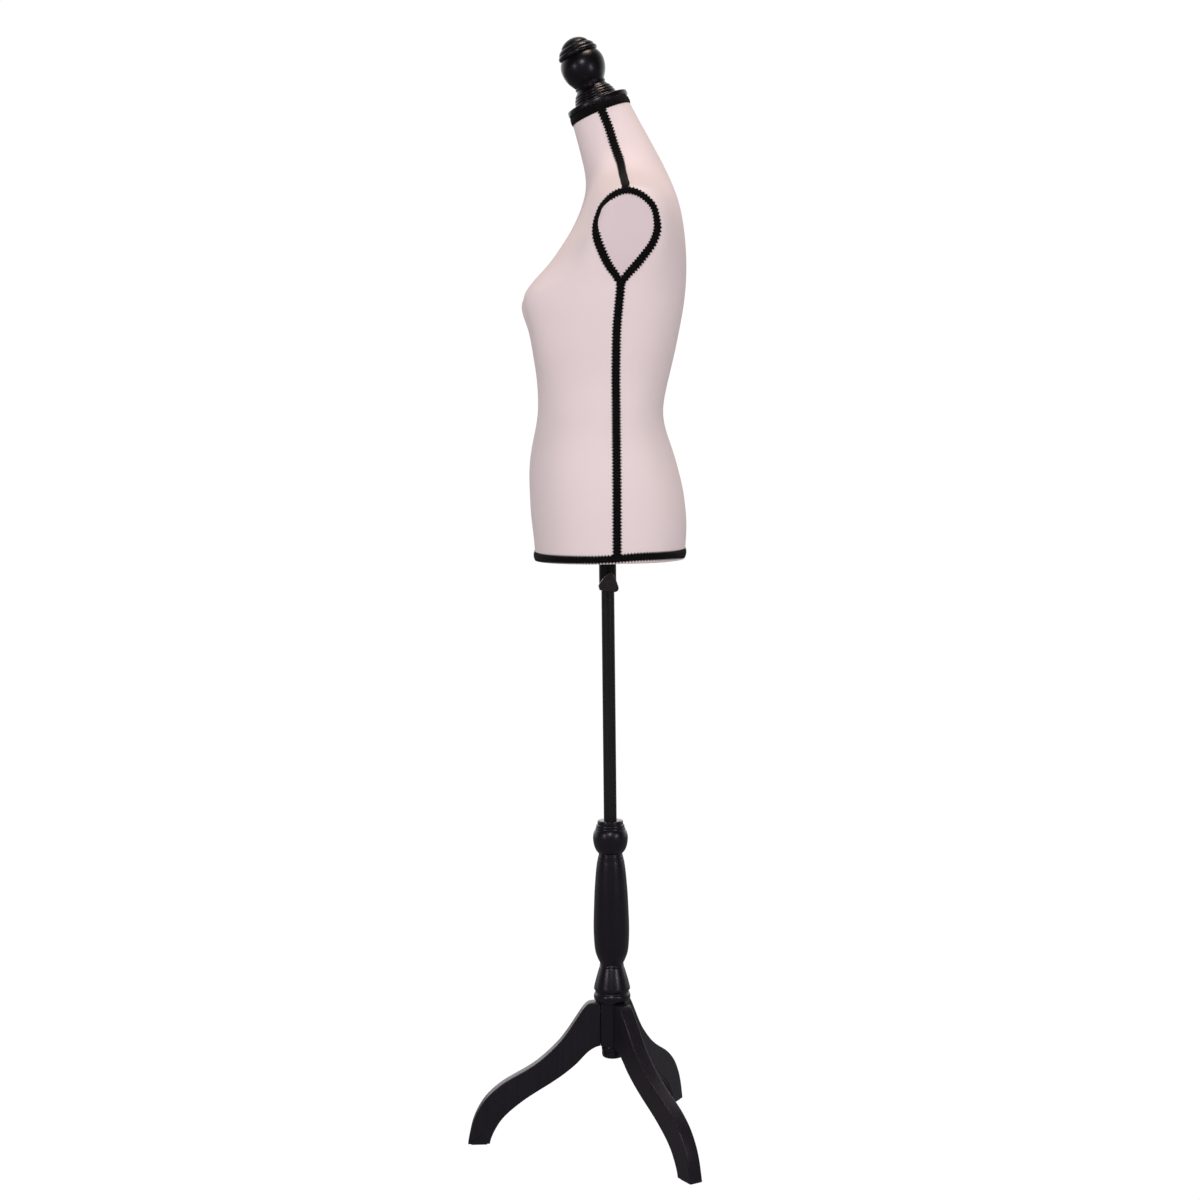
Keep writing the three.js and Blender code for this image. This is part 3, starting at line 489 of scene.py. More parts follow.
class Material(Nodes):
    """The node tree of a new material. Lengths and scales are in metres."""

    def __init__(self, name):
        self.material = bpy.data.materials.new(name)
        self.material.use_nodes = True
        super().__init__(self.material.node_tree)
        self.bsdf = self.tree.nodes["Principled BSDF"]

    def surface(self, **values):
        for key, value in values.items():
            self.feed(self.bsdf.inputs[key.replace("_", " ")], value)
        return self.material

    def noise(self, scale, detail=3.0, rough=0.55, distortion=0.0, stretch=None):
        """Noise over the object; stretch scales its coordinates first."""
        vector = self.coord()
        if stretch:
            mapping = self.node("Mapping", {"Scale": stretch, "Vector": vector})
            vector = mapping.outputs["Vector"]
        return self.node("TexNoise", {
            "Scale": scale, "Detail": detail, "Roughness": rough, "Distortion": distortion,
            "Vector": vector}).outputs["Fac"]

    def ramp(self, factor, stops):
        """Colour ramp through (position, colour) stops."""
        made = self.node("ValToRGB", {"Fac": factor})
        elements = made.color_ramp.elements
        while len(elements) < len(stops):
            elements.new(0.5)
        for element, (position, color) in zip(elements, stops):
            element.position = position
            element.color = (*color, 1)
        return made.outputs["Color"]

    def tones(self, factor, base, stops):
        """Colour ramp through (position, multiple of the base colour) stops."""
        return self.ramp(factor, [(at, tuple(np.array(base) * times)) for at, times in stops])

    def span(self, value, to, source=(0.3, 0.7), kind="LINEAR"):
        return self.node("MapRange", {
            "From Min": source[0], "From Max": source[1], "To Min": to[0], "To Max": to[1],
            "Value": value}, interpolation_type=kind).outputs["Result"]

    def bump(self, height, strength, distance, normal=None):
        inputs = {"Strength": strength, "Distance": distance, "Height": height}
        if normal is not None:
            inputs["Normal"] = normal
        return self.node("Bump", inputs).outputs["Normal"]


# ------------------------------------------------------------------ materials
def jersey(name, tint=(1, 1, 1)):
    """Fine matte knit in wales and courses, over a soft mottle, with painted shade towards the
    edges.
    """
    wale, course = 0.00115, 0.00085     # width and height of a stitch
    net = Material(name)
    uv = net.split(net.coord("UV"))
    stitch = net.math("FRACT", net.mul(uv["X"], 1 / wale))
    # 0 at the stitch's middle, 0.5 between wales
    off_middle = net.math("ABSOLUTE", net.sub(stitch, 0.5))
    slanted = net.add(net.mul(uv["Y"], 1 / course), net.mul(off_middle, 1.1))
    loops = net.math("SINE", net.mul(slanted, 2 * math.pi))
    valley = net.math("POWER", net.mul(off_middle, 2.0), 3.0)
    height = net.sub(net.mul(loops, 0.28), valley)
    mottle = net.noise(scale=9.0, detail=4.0)
    fine = net.noise(scale=420.0, detail=2.0)
    fuzz = net.noise(scale=1900.0, detail=1.0)
    # How much the mottle, the fine noise and the stitches each change the shade
    mottle_share, fine_share, stitch_share = 0.10, 0.07, 0.035
    shade = net.add(net.mul(net.sub(mottle, 0.5), mottle_share),
                    net.mul(net.sub(fine, 0.5), fine_share))
    shade = net.add(shade, net.mul(height, stitch_share))
    color = net.tones(net.add(shade, 0.5, clamp=True),
                      base=np.array([0.734, 0.606, 0.615]) * np.array(tint),
                      stops=[(0.0, 0.80), (0.5, 1.0), (1.0, 1.20)])
    # Painted shade: the colour darkens where the surface turns away from the view, standing in for
    # light falling off towards the edges
    away = net.node("LayerWeight", {"Blend": 0.5}).outputs["Facing"]
    turn = net.span(away, to=(1.0, 0.880), source=(0.10, 0.85), kind="SMOOTHSTEP")
    color = net.node("VectorMath", {0: color, "Scale": turn}, operation="SCALE")
    normal = net.bump(height, strength=0.30, distance=0.00022)
    normal = net.bump(fuzz, strength=0.12, distance=0.00015, normal=normal)
    return net.surface(
        Base_Color=color.outputs["Vector"], Roughness=0.93, Normal=normal,
        Specular_IOR_Level=0.18, Sheen_Weight=0.18, Sheen_Roughness=0.55,
        Sheen_Tint=(1.0, 0.93, 0.92))


def braid_material(name):
    """Black matte cord with slanting strands, mirrored about the braid's middle line."""
    strand_along, strand_across = 0.0010, 0.0016    # strand spacing both ways
    net = Material(name)
    uv = net.split(net.coord("UV"))
    slanted = net.add(net.mul(uv["X"], 1 / strand_along),
                      net.mul(net.math("ABSOLUTE", uv["Y"]), 1 / strand_across))
    strands = net.math("SINE", net.mul(slanted, 2 * math.pi))
    fibre = net.noise(scale=1500.0)
    tone = net.noise(scale=160.0)
    # Strands and tone vary the shade about the ramp's middle
    factor = net.add(net.mul(strands, 0.18), net.add(net.mul(tone, 0.5), 0.25), clamp=True)
    color = net.ramp(factor, [
        (0.0, (0.0012, 0.0010, 0.0011)), (0.6, (0.0032, 0.0026, 0.0028)),
        (1.0, (0.0090, 0.0076, 0.0078))])
    normal = net.bump(strands, strength=0.45, distance=0.00025)
    normal = net.bump(fibre, strength=0.25, distance=0.0002, normal=normal)
    return net.surface(Base_Color=color, Roughness=0.85, Normal=normal,
                       Specular_IOR_Level=0.12, Sheen_Weight=0.03, Sheen_Roughness=0.4)


def lacquered_wood(name, base, rough, coat, coat_rough, relief=0.0, shine=0.42):
    """Black lacquer with a clear coat over grain that runs along z."""
    net = Material(name)
    grain = net.noise(scale=230.0, detail=4.0, rough=0.6, distortion=0.3, stretch=(1, 1, 0.07))
    cloud = net.noise(scale=14.0)
    factor = net.add(net.mul(grain, 0.7), net.mul(cloud, 0.3))
    color = net.tones(factor, base, stops=[(0.25, 0.6), (0.55, 1.0), (0.85, 1.5)])
    # Edges are slightly worn
    edge = net.node("NewGeometry").outputs["Pointiness"]
    worn = net.span(edge, to=(0.0, 0.05), source=(0.53, 0.66))
    # Inputs 6 and 7 are the two colours and output 2 is the mixed colour
    color = net.node("Mix", {"Factor": worn, 6: color, 7: (0.020, 0.016, 0.016)},
                     data_type="RGBA").outputs[2]
    if relief:
        net.surface(Normal=net.bump(grain, strength=relief, distance=0.0003))
    return net.surface(
        Base_Color=color, Roughness=net.span(cloud, to=(rough - 0.02, rough + 0.03)),
        Specular_IOR_Level=shine, Specular_Tint=(0.92, 0.78, 1.0), Coat_Weight=coat,
        Coat_Roughness=net.span(cloud, to=(coat_rough - 0.01, coat_rough + 0.015)))


def painted_steel(name, base, rough):
    net = Material(name)
    speck = net.noise(scale=700.0, detail=2.0)
    cloud = net.noise(scale=22.0, stretch=(1, 1, 0.15))
    factor = net.add(net.mul(speck, 0.4), net.mul(cloud, 0.6))
    return net.surface(
        Base_Color=net.tones(factor, base, stops=[(0.3, 0.7), (0.7, 1.35)]),
        Roughness=net.span(cloud, to=(rough - 0.06, rough + 0.08)),
        Normal=net.bump(speck, strength=0.03, distance=0.0001), Specular_IOR_Level=0.22)


def moulded_plastic(name, base, rough, grain, relief):
    net = Material(name)
    fine = net.noise(scale=grain, detail=2.0)
    cloud = net.noise(scale=40.0)
    return net.surface(
        Base_Color=net.tones(cloud, base, stops=[(0.3, 0.85), (0.7, 1.15)]),
        Roughness=net.span(cloud, to=(rough - 0.05, rough + 0.05)),
        Normal=net.bump(fine, strength=relief, distance=0.0002), Specular_IOR_Level=0.45)


def zinc_plate(name):
    net = Material(name)
    cloud = net.noise(scale=90.0, detail=4.0)
    fine = net.noise(scale=1200.0, detail=2.0)
    return net.surface(
        Base_Color=net.ramp(cloud, [(0.3, (0.42, 0.43, 0.45)), (0.7, (0.66, 0.66, 0.66))]),
        Metallic=0.95, Roughness=net.span(cloud, to=(0.28, 0.45)),
        Normal=net.bump(fine, strength=0.1, distance=0.0001))


def plywood(name):
    net = Material(name)
    grain = net.noise(scale=130.0, detail=5.0, rough=0.6, distortion=0.6, stretch=(0.12, 1, 1))
    color = net.ramp(grain, [
        (0.25, (0.30, 0.18, 0.08)), (0.55, (0.47, 0.31, 0.16)), (0.85, (0.60, 0.43, 0.25))])
    return net.surface(
        Base_Color=color, Roughness=0.8,
        Normal=net.bump(grain, strength=0.2, distance=0.0005), Specular_IOR_Level=0.3)


def foam_material(name):
    net = Material(name)
    cells = net.node("TexVoronoi", {"Scale": 330.0, "Vector": net.coord()})
    cloud = net.noise(scale=12.0)
    return net.surface(
        Base_Color=net.ramp(cloud, [(0.3, (0.70, 0.68, 0.61)), (0.7, (0.83, 0.81, 0.76))]),
        Roughness=0.9, Specular_IOR_Level=0.2,
        Normal=net.bump(cells.outputs["Distance"], strength=0.3, distance=0.0006))


def felt_material(name):
    net = Material(name)
    fibre = net.noise(scale=900.0, detail=4.0, rough=0.7, distortion=1.5, stretch=(1, 0.3, 1))
    color = net.ramp(fibre, [(0.3, (0.007, 0.007, 0.007)), (0.7, (0.022, 0.021, 0.020))])
    return net.surface(
        Base_Color=color, Roughness=0.96,
        Normal=net.bump(fibre, strength=0.5, distance=0.0006), Sheen_Weight=0.2)


JERSEY = jersey("jersey_knit")
JERSEY_PANEL = jersey("jersey_knit_armhole", tint=(0.88, 0.865, 0.885))
BRAID = braid_material("braid_black")
WOOD_TURNED = lacquered_wood(
    "lacquer_turned", base=(0.0036, 0.0026, 0.0050), rough=0.36, coat=0.40, coat_rough=0.25)
WOOD_FINIAL = lacquered_wood(
    "lacquer_finial", base=(0.0012, 0.0009, 0.0017), rough=0.36, coat=0.30, coat_rough=0.25,
    shine=0.30)
WOOD_LEG = lacquered_wood(
    "lacquer_legs", base=(0.0078, 0.0058, 0.0090), rough=0.44, coat=0.30, coat_rough=0.26,
    relief=0.02)
STEEL = painted_steel("steel_black", base=(0.0112, 0.0102, 0.0096), rough=0.36)
STEEL_SLEEVE = painted_steel("steel_sleeve", base=(0.0075, 0.0064, 0.0060), rough=0.30)
KNOB = moulded_plastic(
    "knob_plastic", base=(0.0165, 0.0140, 0.0140), rough=0.36, grain=900.0, relief=0.05)
NYLON = moulded_plastic("nylon", base=(0.66, 0.65, 0.60), rough=0.55, grain=500.0, relief=0.1)
ZINC = zinc_plate("zinc")
BOARD = plywood("plywood")
FOAM = foam_material("foam")
FELT = felt_material("felt")

# ------------------------------------------------------------------ torso cover
COVER_THICKNESS = 1.3
UV_GIRTH = 0.880                    # u once round the torso, metres
# Spacing of the cover's rings: from z, to z, step, step in a quick build
RING_SPANS = [
    (HEM_Z, 1400, 4, 9), (1400, 1436, 3, 5), (1436, 1480, 1.2, 2.4), (1480, 1510, 2, 4),
    (1510, NECK_Z, 3.5, 7)]
RING_Z = np.concatenate(
    [np.arange(low, high, fine) for low, high, fine, quick in RING_SPANS]
    + [[NECK_Z]])
SKIN = hem_lift(torso_rings(RING_Z))
SKIN_NORMALS = grid_normals(SKIN)
SKIN_POINTS = SKIN.reshape(-1, 3)
SKIN_FACES = ring_faces(len(RING_Z), AROUND)


def seam_y(z):
    """The line between the front and back panels."""
    seam = SIDE_SEAM + [(14.4, 1330.0), (20.2, 1446.0)] + SHOULDER_SEAM
    return np.interp(z, [p[1] for p in seam], [p[0] for p in seam])


def inside_polygon(y, z, polygon):
    inside = np.zeros(np.shape(y), bool)
    for (y1, z1), (y2, z2) in zip(polygon, polygon[1:] + polygon[:1]):
        if z1 != z2:
            inside ^= ((z1 > z) != (z2 > z)) & (y < (y2 - y1) * (z - z1) / (z2 - z1) + y1)
    return inside


def unwrap_seam(ob):
    """Carry u on past the girth in faces that bridge the ring's start and end."""
    layer = ob.data.uv_layers["UVMap"].data
    for polygon in ob.data.polygons:
        across = [layer[i].uv[0] for i in polygon.loop_indices]
        if max(across) - min(across) > 0.4:
            for i in polygon.loop_indices:
                if layer[i].uv[0] < 0.4:
                    layer[i].uv[0] += UV_GIRTH


def cover_panels():
    inner = (SKIN - SKIN_NORMALS * COVER_THICKNESS).reshape(-1, 3)
    x, y, z = SKIN_POINTS[SKIN_FACES].mean(axis=1).T
    arm = inside_polygon(y, z, ARMHOLE) & (np.abs(x) > 60)
    front = ~arm & (y < seam_y(z))
    u = (np.arange(AROUND) + 0.5) / AROUND * UV_GIRTH
    v = lengths_along(SKIN[:, 0]) / 1000.0
    uv = np.stack([np.tile(u, len(RING_Z)), np.repeat(v, AROUND)], axis=1)
    for name, mask, material, node in (
        ("jersey_front_panel", front, JERSEY, "cover_front"),
        ("jersey_back_panel", ~arm & ~front, JERSEY, "cover_back"),
        ("jersey_armhole_panel_left", arm & (x > 0), JERSEY_PANEL, "armhole_panel_left"),
        ("jersey_armhole_panel_right", arm & (x < 0), JERSEY_PANEL, "armhole_panel_right"),
    ):
        points, faces, source = shell(SKIN_POINTS, inner, SKIN_FACES[mask])
        ob = mesh_object(name, points, faces, uv[source])
        unwrap_seam(ob)
        dress(ob, material, "torso", node)


def foam_body():
    """The moulded foam inside the cover, hollow below and recessed at the neck."""
    around = AROUND // 2
    inset, wall, end_gap = 1.9, 16.0, 0.3
    hollow_top, hollow_y = 1400, 5
    recess_radius, recess_top, recess_bottom = 28.3, -0.4, -50.3    # heights along the neck axis
    heights = RING_Z[::2]
    if heights[-1] != RING_Z[-1]:
        heights = np.r_[heights, RING_Z[-1]]
    rings = torso_rings(heights, around)
    outside = rings - grid_normals(rings) * inset
    outside[0, :, 2] = HEM_Z + end_gap
    outside[-1] += np.array([0, -math.sin(TILT), math.cos(TILT)]) * recess_top
    outside = hem_lift(outside)
    # The hollow keeps its wall from the narrowest of three nearby rings
    hollow_z = heights[heights <= hollow_top]
    near = [torso_rings(np.clip(hollow_z + d, HEM_Z, None), around) for d in (-14, 0, 14)]
    radius = np.min([np.hypot(p[..., 0], p[..., 1] - hollow_y) for p in near], axis=0) - wall
    angle = np.arctan2(near[1][..., 1] - hollow_y, near[1][..., 0])
    hollow = np.stack([radius * np.cos(angle), hollow_y + radius * np.sin(angle),
                       np.broadcast_to(hollow_z[:, None], radius.shape)], axis=-1)
    hollow[0, :, 2] = HEM_Z + end_gap
    angle = ring_angles(around)
    recess = [
        placed(np.stack([recess_radius * np.cos(angle), recess_radius * np.sin(angle),
                         np.full(around, z)], axis=1), NECK_PLACE)
        for z in (recess_top, recess_bottom)]
    points = np.concatenate(
        [hollow[::-1].reshape(-1, 3), outside.reshape(-1, 3), np.concatenate(recess)])
    faces = capped_faces(len(hollow_z) + len(heights) + 2, around)
    ob = mesh_object("foam_body_moulded", points, faces)
    dress(ob, FOAM, "torso", "foam_body")


# Underside of the bottom cover, from the rim inwards: (share of the hem ring, z from the hem).
# The last ring is the round hole for the sleeve.
BOTTOM_RINGS = [
    (1.0, 0.0), (0.998, -0.35), (0.99, -0.6), (0.97, -0.7), (0.945, -0.75), (0.92, -0.75),
    (0.9, -0.75), (0.88, -0.75), (0.84, -0.75), (0.75, -0.78), (0.55, -0.85), (0.35, -1.75),
    (0.2, -1.85)]


def bottom_cover():
    """Jersey under the base board, drawn in towards the sleeve in fine pleats."""
    hem = torso_rings([HEM_Z])[0]
    phase = np.arange(AROUND) * 2 * math.pi / AROUND
    pleat = 0.35 * np.sin(phase * 46) * (0.6 + 0.4 * np.sin(phase * 3))
    rim = hem - SKIN_NORMALS[0] * 0.2
    rim[:, 2] = HEM_Z - 0.05
    lower = [rim]
    for share, drop in BOTTOM_RINGS[1:]:
        ring = hem * share
        ring[:, 2] = HEM_Z + drop + pleat * min(1.0, (1 - share) * 12) * max(0.0, share - 0.3)
        lower.append(ring)
    angle = np.arctan2(hem[:, 1], hem[:, 0])
    lower[-1][:, :2] = SLEEVE_HOLE * np.stack([np.cos(angle), np.sin(angle)], axis=1)
    upper = []
    for ring in lower[:0:-1]:
        ring = ring.copy()
        ring[:, 2] = np.minimum(ring[:, 2] + 0.65, HEM_Z - 0.1)
        upper.append(ring)
    flat = np.stack(lower + upper)
    # The rim follows the raised back of the hem; the rest stays flat
    shares = np.array([share for share, _ in BOTTOM_RINGS + BOTTOM_RINGS[:0:-1]])
    inset = (1 - shares)[:, None] * np.hypot(hem[:, 0], hem[:, 1])
    points = flat + (hem_lift(flat) - flat) * smooth01((13.0 - inset) / 9.0)[..., None]
    points = points.reshape(-1, 3)
    faces = ring_faces(len(flat), AROUND, closed=True)[:, ::-1]
    ob = mesh_object("jersey_bottom_cover", points, faces, points[:, :2] / 1000)
    dress(ob, JERSEY, "torso", "bottom_cover")


cover_panels()
foam_body()
bottom_cover()

# ------------------------------------------------------------------ braids
BRAID_PITCH = 4.8                   # length of one tooth of the serrated edge
SKIN_TREE = BVHTree.FromPolygons(
    [tuple(p) for p in SKIN_POINTS], [tuple(map(int, face)) for face in SKIN_FACES])


def touch(y, z, side):
    """Where a line along x from outside meets the cover, and the outward normal there."""
    start = Vector((side * 300.0, float(y), float(z)))
    hit, normal, _, _ = SKIN_TREE.ray_cast(start, Vector((-side, 0, 0)))
    if hit is None:
        raise RuntimeError(f"no surface at {y}, {z}")
    if normal.x * side < 0:
        normal = -normal
    return np.array(hit), np.array(normal)


def dense_path(knots, closed):
    """Evenly spaced (y, z) points along a smooth curve through the knots."""
    knots = np.array(knots, float)
    wrap = 4    # knots repeated beyond each end, so that a closed curve meets itself smoothly
    if closed:
        knots = np.concatenate([knots[-wrap:], knots, knots[:wrap]])
    lengths, curve = curve_through(knots)
    start, end = (lengths[wrap], lengths[-wrap]) if closed else (0, lengths[-1])
    count = int((end - start) / BRAID_STEP)
    return curve(np.linspace(start, end, count, endpoint=not closed))


def smooth_rows(rows, width, closed):
    """Running mean down the rows."""
    pad = width // 2
    if closed:
        ends = rows[-pad:], rows[:pad]
    else:
        ends = np.repeat(rows[:1], pad, 0), np.repeat(rows[-1:], pad, 0)
    padded = np.concatenate([ends[0], rows, ends[1]])
    weights = np.ones(width) / width
    return np.stack([np.convolve(column, weights, "valid") for column in padded.T], axis=1)


def side_path(knots, closed, side):
    hits = [touch(y, z, side) for y, z in dense_path(knots, closed)]
    path, normals = (np.array(part) for part in zip(*hits))
    return path, smooth_rows(normals, 25, closed)


def band_path(front, back):
    """A closed path round the torso at height front before it and height back behind it."""
    count = 1440
    level_y = torso_rings([(front + back) / 2], count)[0][:, 1]
    heights = front + (back - front) * smooth01((level_y + 30) / 80)
    angles = ring_angles(count)
    grid = hem_lift(np.stack([torso_points(heights + d, angles) for d in (-1.5, 0.0, 1.5)]))
    path, normals = (np.vstack([p, p[:1]]) for p in (grid[1], grid_normals(grid)[1]))
    lengths = lengths_along(path)
    at = np.linspace(0, lengths[-1], int(lengths[-1] / BRAID_STEP), endpoint=False)
    return [np.stack([np.interp(at, lengths, column) for column in rows.T], axis=1)
            for rows in (path, normals)]


def ribbon(name, path, normals, closed, half, other_half=None, height=1.7, teeth=0.50):
    """A braid along a path: a low crown with chevron strands and serrated edges. half is the
    half width, which may vary along it; other_half is that on the side of normal x tangent."""
    normals = normals / np.linalg.norm(normals, axis=1, keepdims=True)
    if other_half is None:
        other_half = half
    if closed:
        tangents = np.roll(path, -1, axis=0) - np.roll(path, 1, axis=0)
        steps = np.linalg.norm(np.roll(path, -1, axis=0) - path, axis=1)
        total = steps.sum()
        along = np.r_[0, np.cumsum(steps)[:-1]]
        pitch = total / max(1, round(total / BRAID_PITCH))
    else:
        tangents = np.gradient(path, axis=0)
        along = lengths_along(path)
        pitch = BRAID_PITCH
    tangents = tangents / np.linalg.norm(tangents, axis=1, keepdims=True)
    sideways = np.cross(normals, tangents)
    sideways /= np.linalg.norm(sideways, axis=1, keepdims=True)
    phase = 2 * math.pi * along / pitch
    saw = 1 - np.abs(((along / pitch) % 1.0) * 2 - 1)
    edge_reach = 0.98 + teeth * (saw - 0.5)

    # Cross-section as (sideways offset, height), over the top and back underneath
    section = []
    for x in np.linspace(-1, 1, 13):
        out = abs(x)
        strand = 0.5 + 0.5 * np.cos(phase + 2 * math.pi * 0.75 * out)
        if out > 0.99:
            reach = edge_reach
            lift = height * 0.30 + 0.15 * strand
        else:
            reach = 0.93 - 0.06 * (1 - saw) if out > 0.72 else 0.88
            crown = height * (1 - 0.62 * out ** 2.6)
            groove = 0.30 * math.exp(-(x / 0.13) ** 2)
            lift = crown + (0.42 * strand * (1 - 0.35 * out) - groove)
        section.append((x * reach * (other_half if x > 0 else half), lift))
    underside, tuck = -0.9, 0.35
    for x, side_half in ((1, other_half), (-1, half)):
        section.append((x * (side_half * edge_reach - tuck), underside))

    rings, uvs = [], []
    for offset, lift in section:
        offset, lift = (np.broadcast_to(part, len(path)) for part in (offset, lift))
        rings.append(path + sideways * offset[:, None] + normals * lift[:, None])
        uvs.append(np.stack([along, offset], axis=1) / 1000)
    size = len(path), len(section)
    faces = ring_faces(*size, closed=True) if closed else capped_faces(*size)
    points, uv = np.stack(rings, axis=1).reshape(-1, 3), np.stack(uvs, axis=1).reshape(-1, 2)
    ob = mesh_object(name, points, [face[::-1] for face in faces], uv)
    return ob


def side_seam_braid(side, tag):
    knots = [(4.3, 925.0)] + SIDE_SEAM[2:-1] + [(13.8, 1321.0)]
    path, normals = side_path(knots, False, side)
    ob = ribbon("side_seam_braid_" + tag, path, normals, False, half=6.25)
    dress(ob, BRAID, "torso", "side_braid_" + tag)


def shoulder_braid(side, tag):
    knots = [(20.4, 1451.0), (20.8, 1459.0)] + SHOULDER_SEAM[1:-2]
    knots += [(-6.5, 1589.5), (-8.4, 1594.0)]
    path, normals = side_path(knots, False, side)
    z = path[:, 2]
    # Narrower down on the shoulder, and again where it meets the armhole
    half = 6.3 - 0.9 * smooth01((1515 - z) / 25)
    half = half * (1 - 0.12 * smooth01((1462 - z) / 9))
    ob = ribbon("shoulder_gimp_" + tag, path, normals, False, half)
    dress(ob, BRAID, "torso", "shoulder_braid_" + tag)


def armhole_braid(side, tag):
    path, normals = side_path(ARMHOLE, True, side)
    normals = normals + np.array([side * 0.55, 0, 0])       # leans outwards
    y, z = path[:, 1], path[:, 2]
    half = 5.5 - 0.7 * smooth01((y - 25) / 35) - 0.5 * smooth01((z - 1425) / 24)
    # The front run is broader towards the arm plate, the lower back run towards the cover
    front = smooth01((12 - y) / 24)
    lower_back = smooth01((y - 18) / 20) * smooth01((1418 - z) / 25)
    plate_half = half + 2.4 * front
    cover_half = half - 0.8 * front + 1.8 * lower_back
    halves = [plate_half, cover_half]
    tangents = np.roll(path, -1, axis=0) - np.roll(path, 1, axis=0)
    if (np.cross(normals, tangents) * (path.mean(axis=0) - path)).sum() > 0:
        halves.reverse()
    ob = ribbon("armhole_gimp_" + tag, path, normals, True, *halves, height=1.9)
    dress(ob, BRAID, "torso", "armhole_braid_" + tag)


def hem_braid():
    path, normals = band_path(front=920.3, back=922.9)
    half = 5.7 + 0.35 * smooth01((path[:, 1] + 30) / 80)
    ob = ribbon("hem_gimp", path, normals, True, half, height=1.8)
    dress(ob, BRAID, "torso", "hem_braid")


def neck_braid():
    path, normals = band_path(front=1591.4, back=1591.4)
    ob = ribbon("neck_gimp", path, normals, True, half=6.6, height=1.9, teeth=0.12)
    dress(ob, BRAID, "torso", "neck_braid")


for side, tag in ((1, "left"), (-1, "right")):
    side_seam_braid(side, tag)
    shoulder_braid(side, tag)
    armhole_braid(side, tag)
hem_braid()
neck_braid()

# ------------------------------------------------------------------ neck cap and finial
# Profiles are (radius, height) runs for profile_points, here along the neck axis
CAP_TOP = 8.0
CAP = [
    (0, 0.3), (46.2, 0.3), [(47.2, 0.7), (47.6, 1.8)], (47.6, 6.0),
    [(47.3, 7.2), (46.2, 7.9), (44.8, CAP_TOP)], (0, CAP_TOP)]
# Heights above the cap
FINIAL = [
    (0, 0.3), (33.0, 0.3),
    [(33.9, 0.9), (34.2, 2.0), (33.9, 3.3), (32.9, 4.3)], (31.9, 4.7),
    [(32.4, 5.6), (32.2, 7.2), (31.5, 8.8)], (30.6, 9.3),
    [(31.0, 10.2), (30.6, 11.8), (29.5, 13.2)], (28.3, 13.7),
    [(28.7, 14.8), (28.0, 16.6), (26.6, 18.2)], (25.6, 18.6),
    [(24.3, 20.6), (23.2, 22.6), (22.9, 24.2)],
    [(23.9, 25.0), (24.0, 26.2), (23.0, 27.3)],
    [(23.4, 28.4), (25.9, 32.6), (29.9, 39.4), (32.0, 45.0), (33.3, 50.8), (33.8, 56.5),
     (33.3, 62.0), (31.9, 66.6), (30.2, 70.0), (28.9, 72.2)], (28.2, 73.2),
    [(29.6, 74.0), (30.6, 75.6), (30.8, 77.4), (30.1, 79.2), (28.7, 80.6)],
    (27.3, 81.3), (27.3, 81.2),
    [(27.9, 82.1), (27.5, 83.8), (26.1, 85.8), (24.0, 87.6), (22.3, 88.6)], (20.9, 89.1),
    [(21.0, 90.2), (19.7, 92.5), (17.1, 95.0), (13.2, 97.5), (8.5, 99.4), (4.0, 100.4),
     (0, 100.7)]]
CAP_TURNING = {"step": 0.5, "segments": 128}

cap = lathe("neck_cap_disc", CAP, **CAP_TURNING, placement=NECK_PLACE, crease=40)
dress(cap, WOOD_FINIAL, "torso", "neck_cap")
finial_place = NECK_PLACE.copy()
finial_place[3] += NECK_PLACE[2] * CAP_TOP
finial = lathe("turned_finial", FINIAL, **CAP_TURNING, placement=finial_place, crease=38)
dress(finial, WOOD_FINIAL, "torso", "finial")

# ------------------------------------------------------------------ sleeve and flange
SLEEVE_RADIUS, SLEEVE_BORE = 13.2, 11.6
SLEEVE_BOTTOM, SLEEVE_TOP = 866, 1380
SLEEVE = [
    (SLEEVE_BORE, SLEEVE_BOTTOM), (12.6, SLEEVE_BOTTOM),
    [(13.05, 866.2), (SLEEVE_RADIUS, 866.7)], (SLEEVE_RADIUS, SLEEVE_TOP),
    (SLEEVE_BORE, SLEEVE_TOP), (SLEEVE_BORE, SLEEVE_BOTTOM)]
FLANGE = [
    (SLEEVE_HOLE, 909), (31, 909), [(31.8, 909.3), (32, 910)], (32, 911.2),
    [(31.6, 911.9), (31, 912)], (SLEEVE_HOLE, 912), (SLEEVE_HOLE, 909)]

sleeve = lathe("socket_sleeve", SLEEVE, crease=35)
dress(sleeve, STEEL_SLEEVE, "torso", "sleeve_tube")
flange = lathe("socket_flange_plate", FLANGE, crease=35)
dress(flange, STEEL, "torso", "socket_flange")

# ------------------------------------------------------------------ clamp knob and screw
KNOB_X, KNOB_HALF = 32.0, 6.0       # middle and half thickness of the knob head
KNOB_COLLAR = [(0, 22), (7.6, 22), [(8.4, 22.3), (8.6, 23)], (8.6, 27), (0, 27)]
KNOB_BOSS = [
    (0, 37.0), (6.4, 37.0), [(6.4, 38.4), (6.0, 38.9), (5.2, 39.0)], [(3.0, 38.6), (0, 38.5)]]


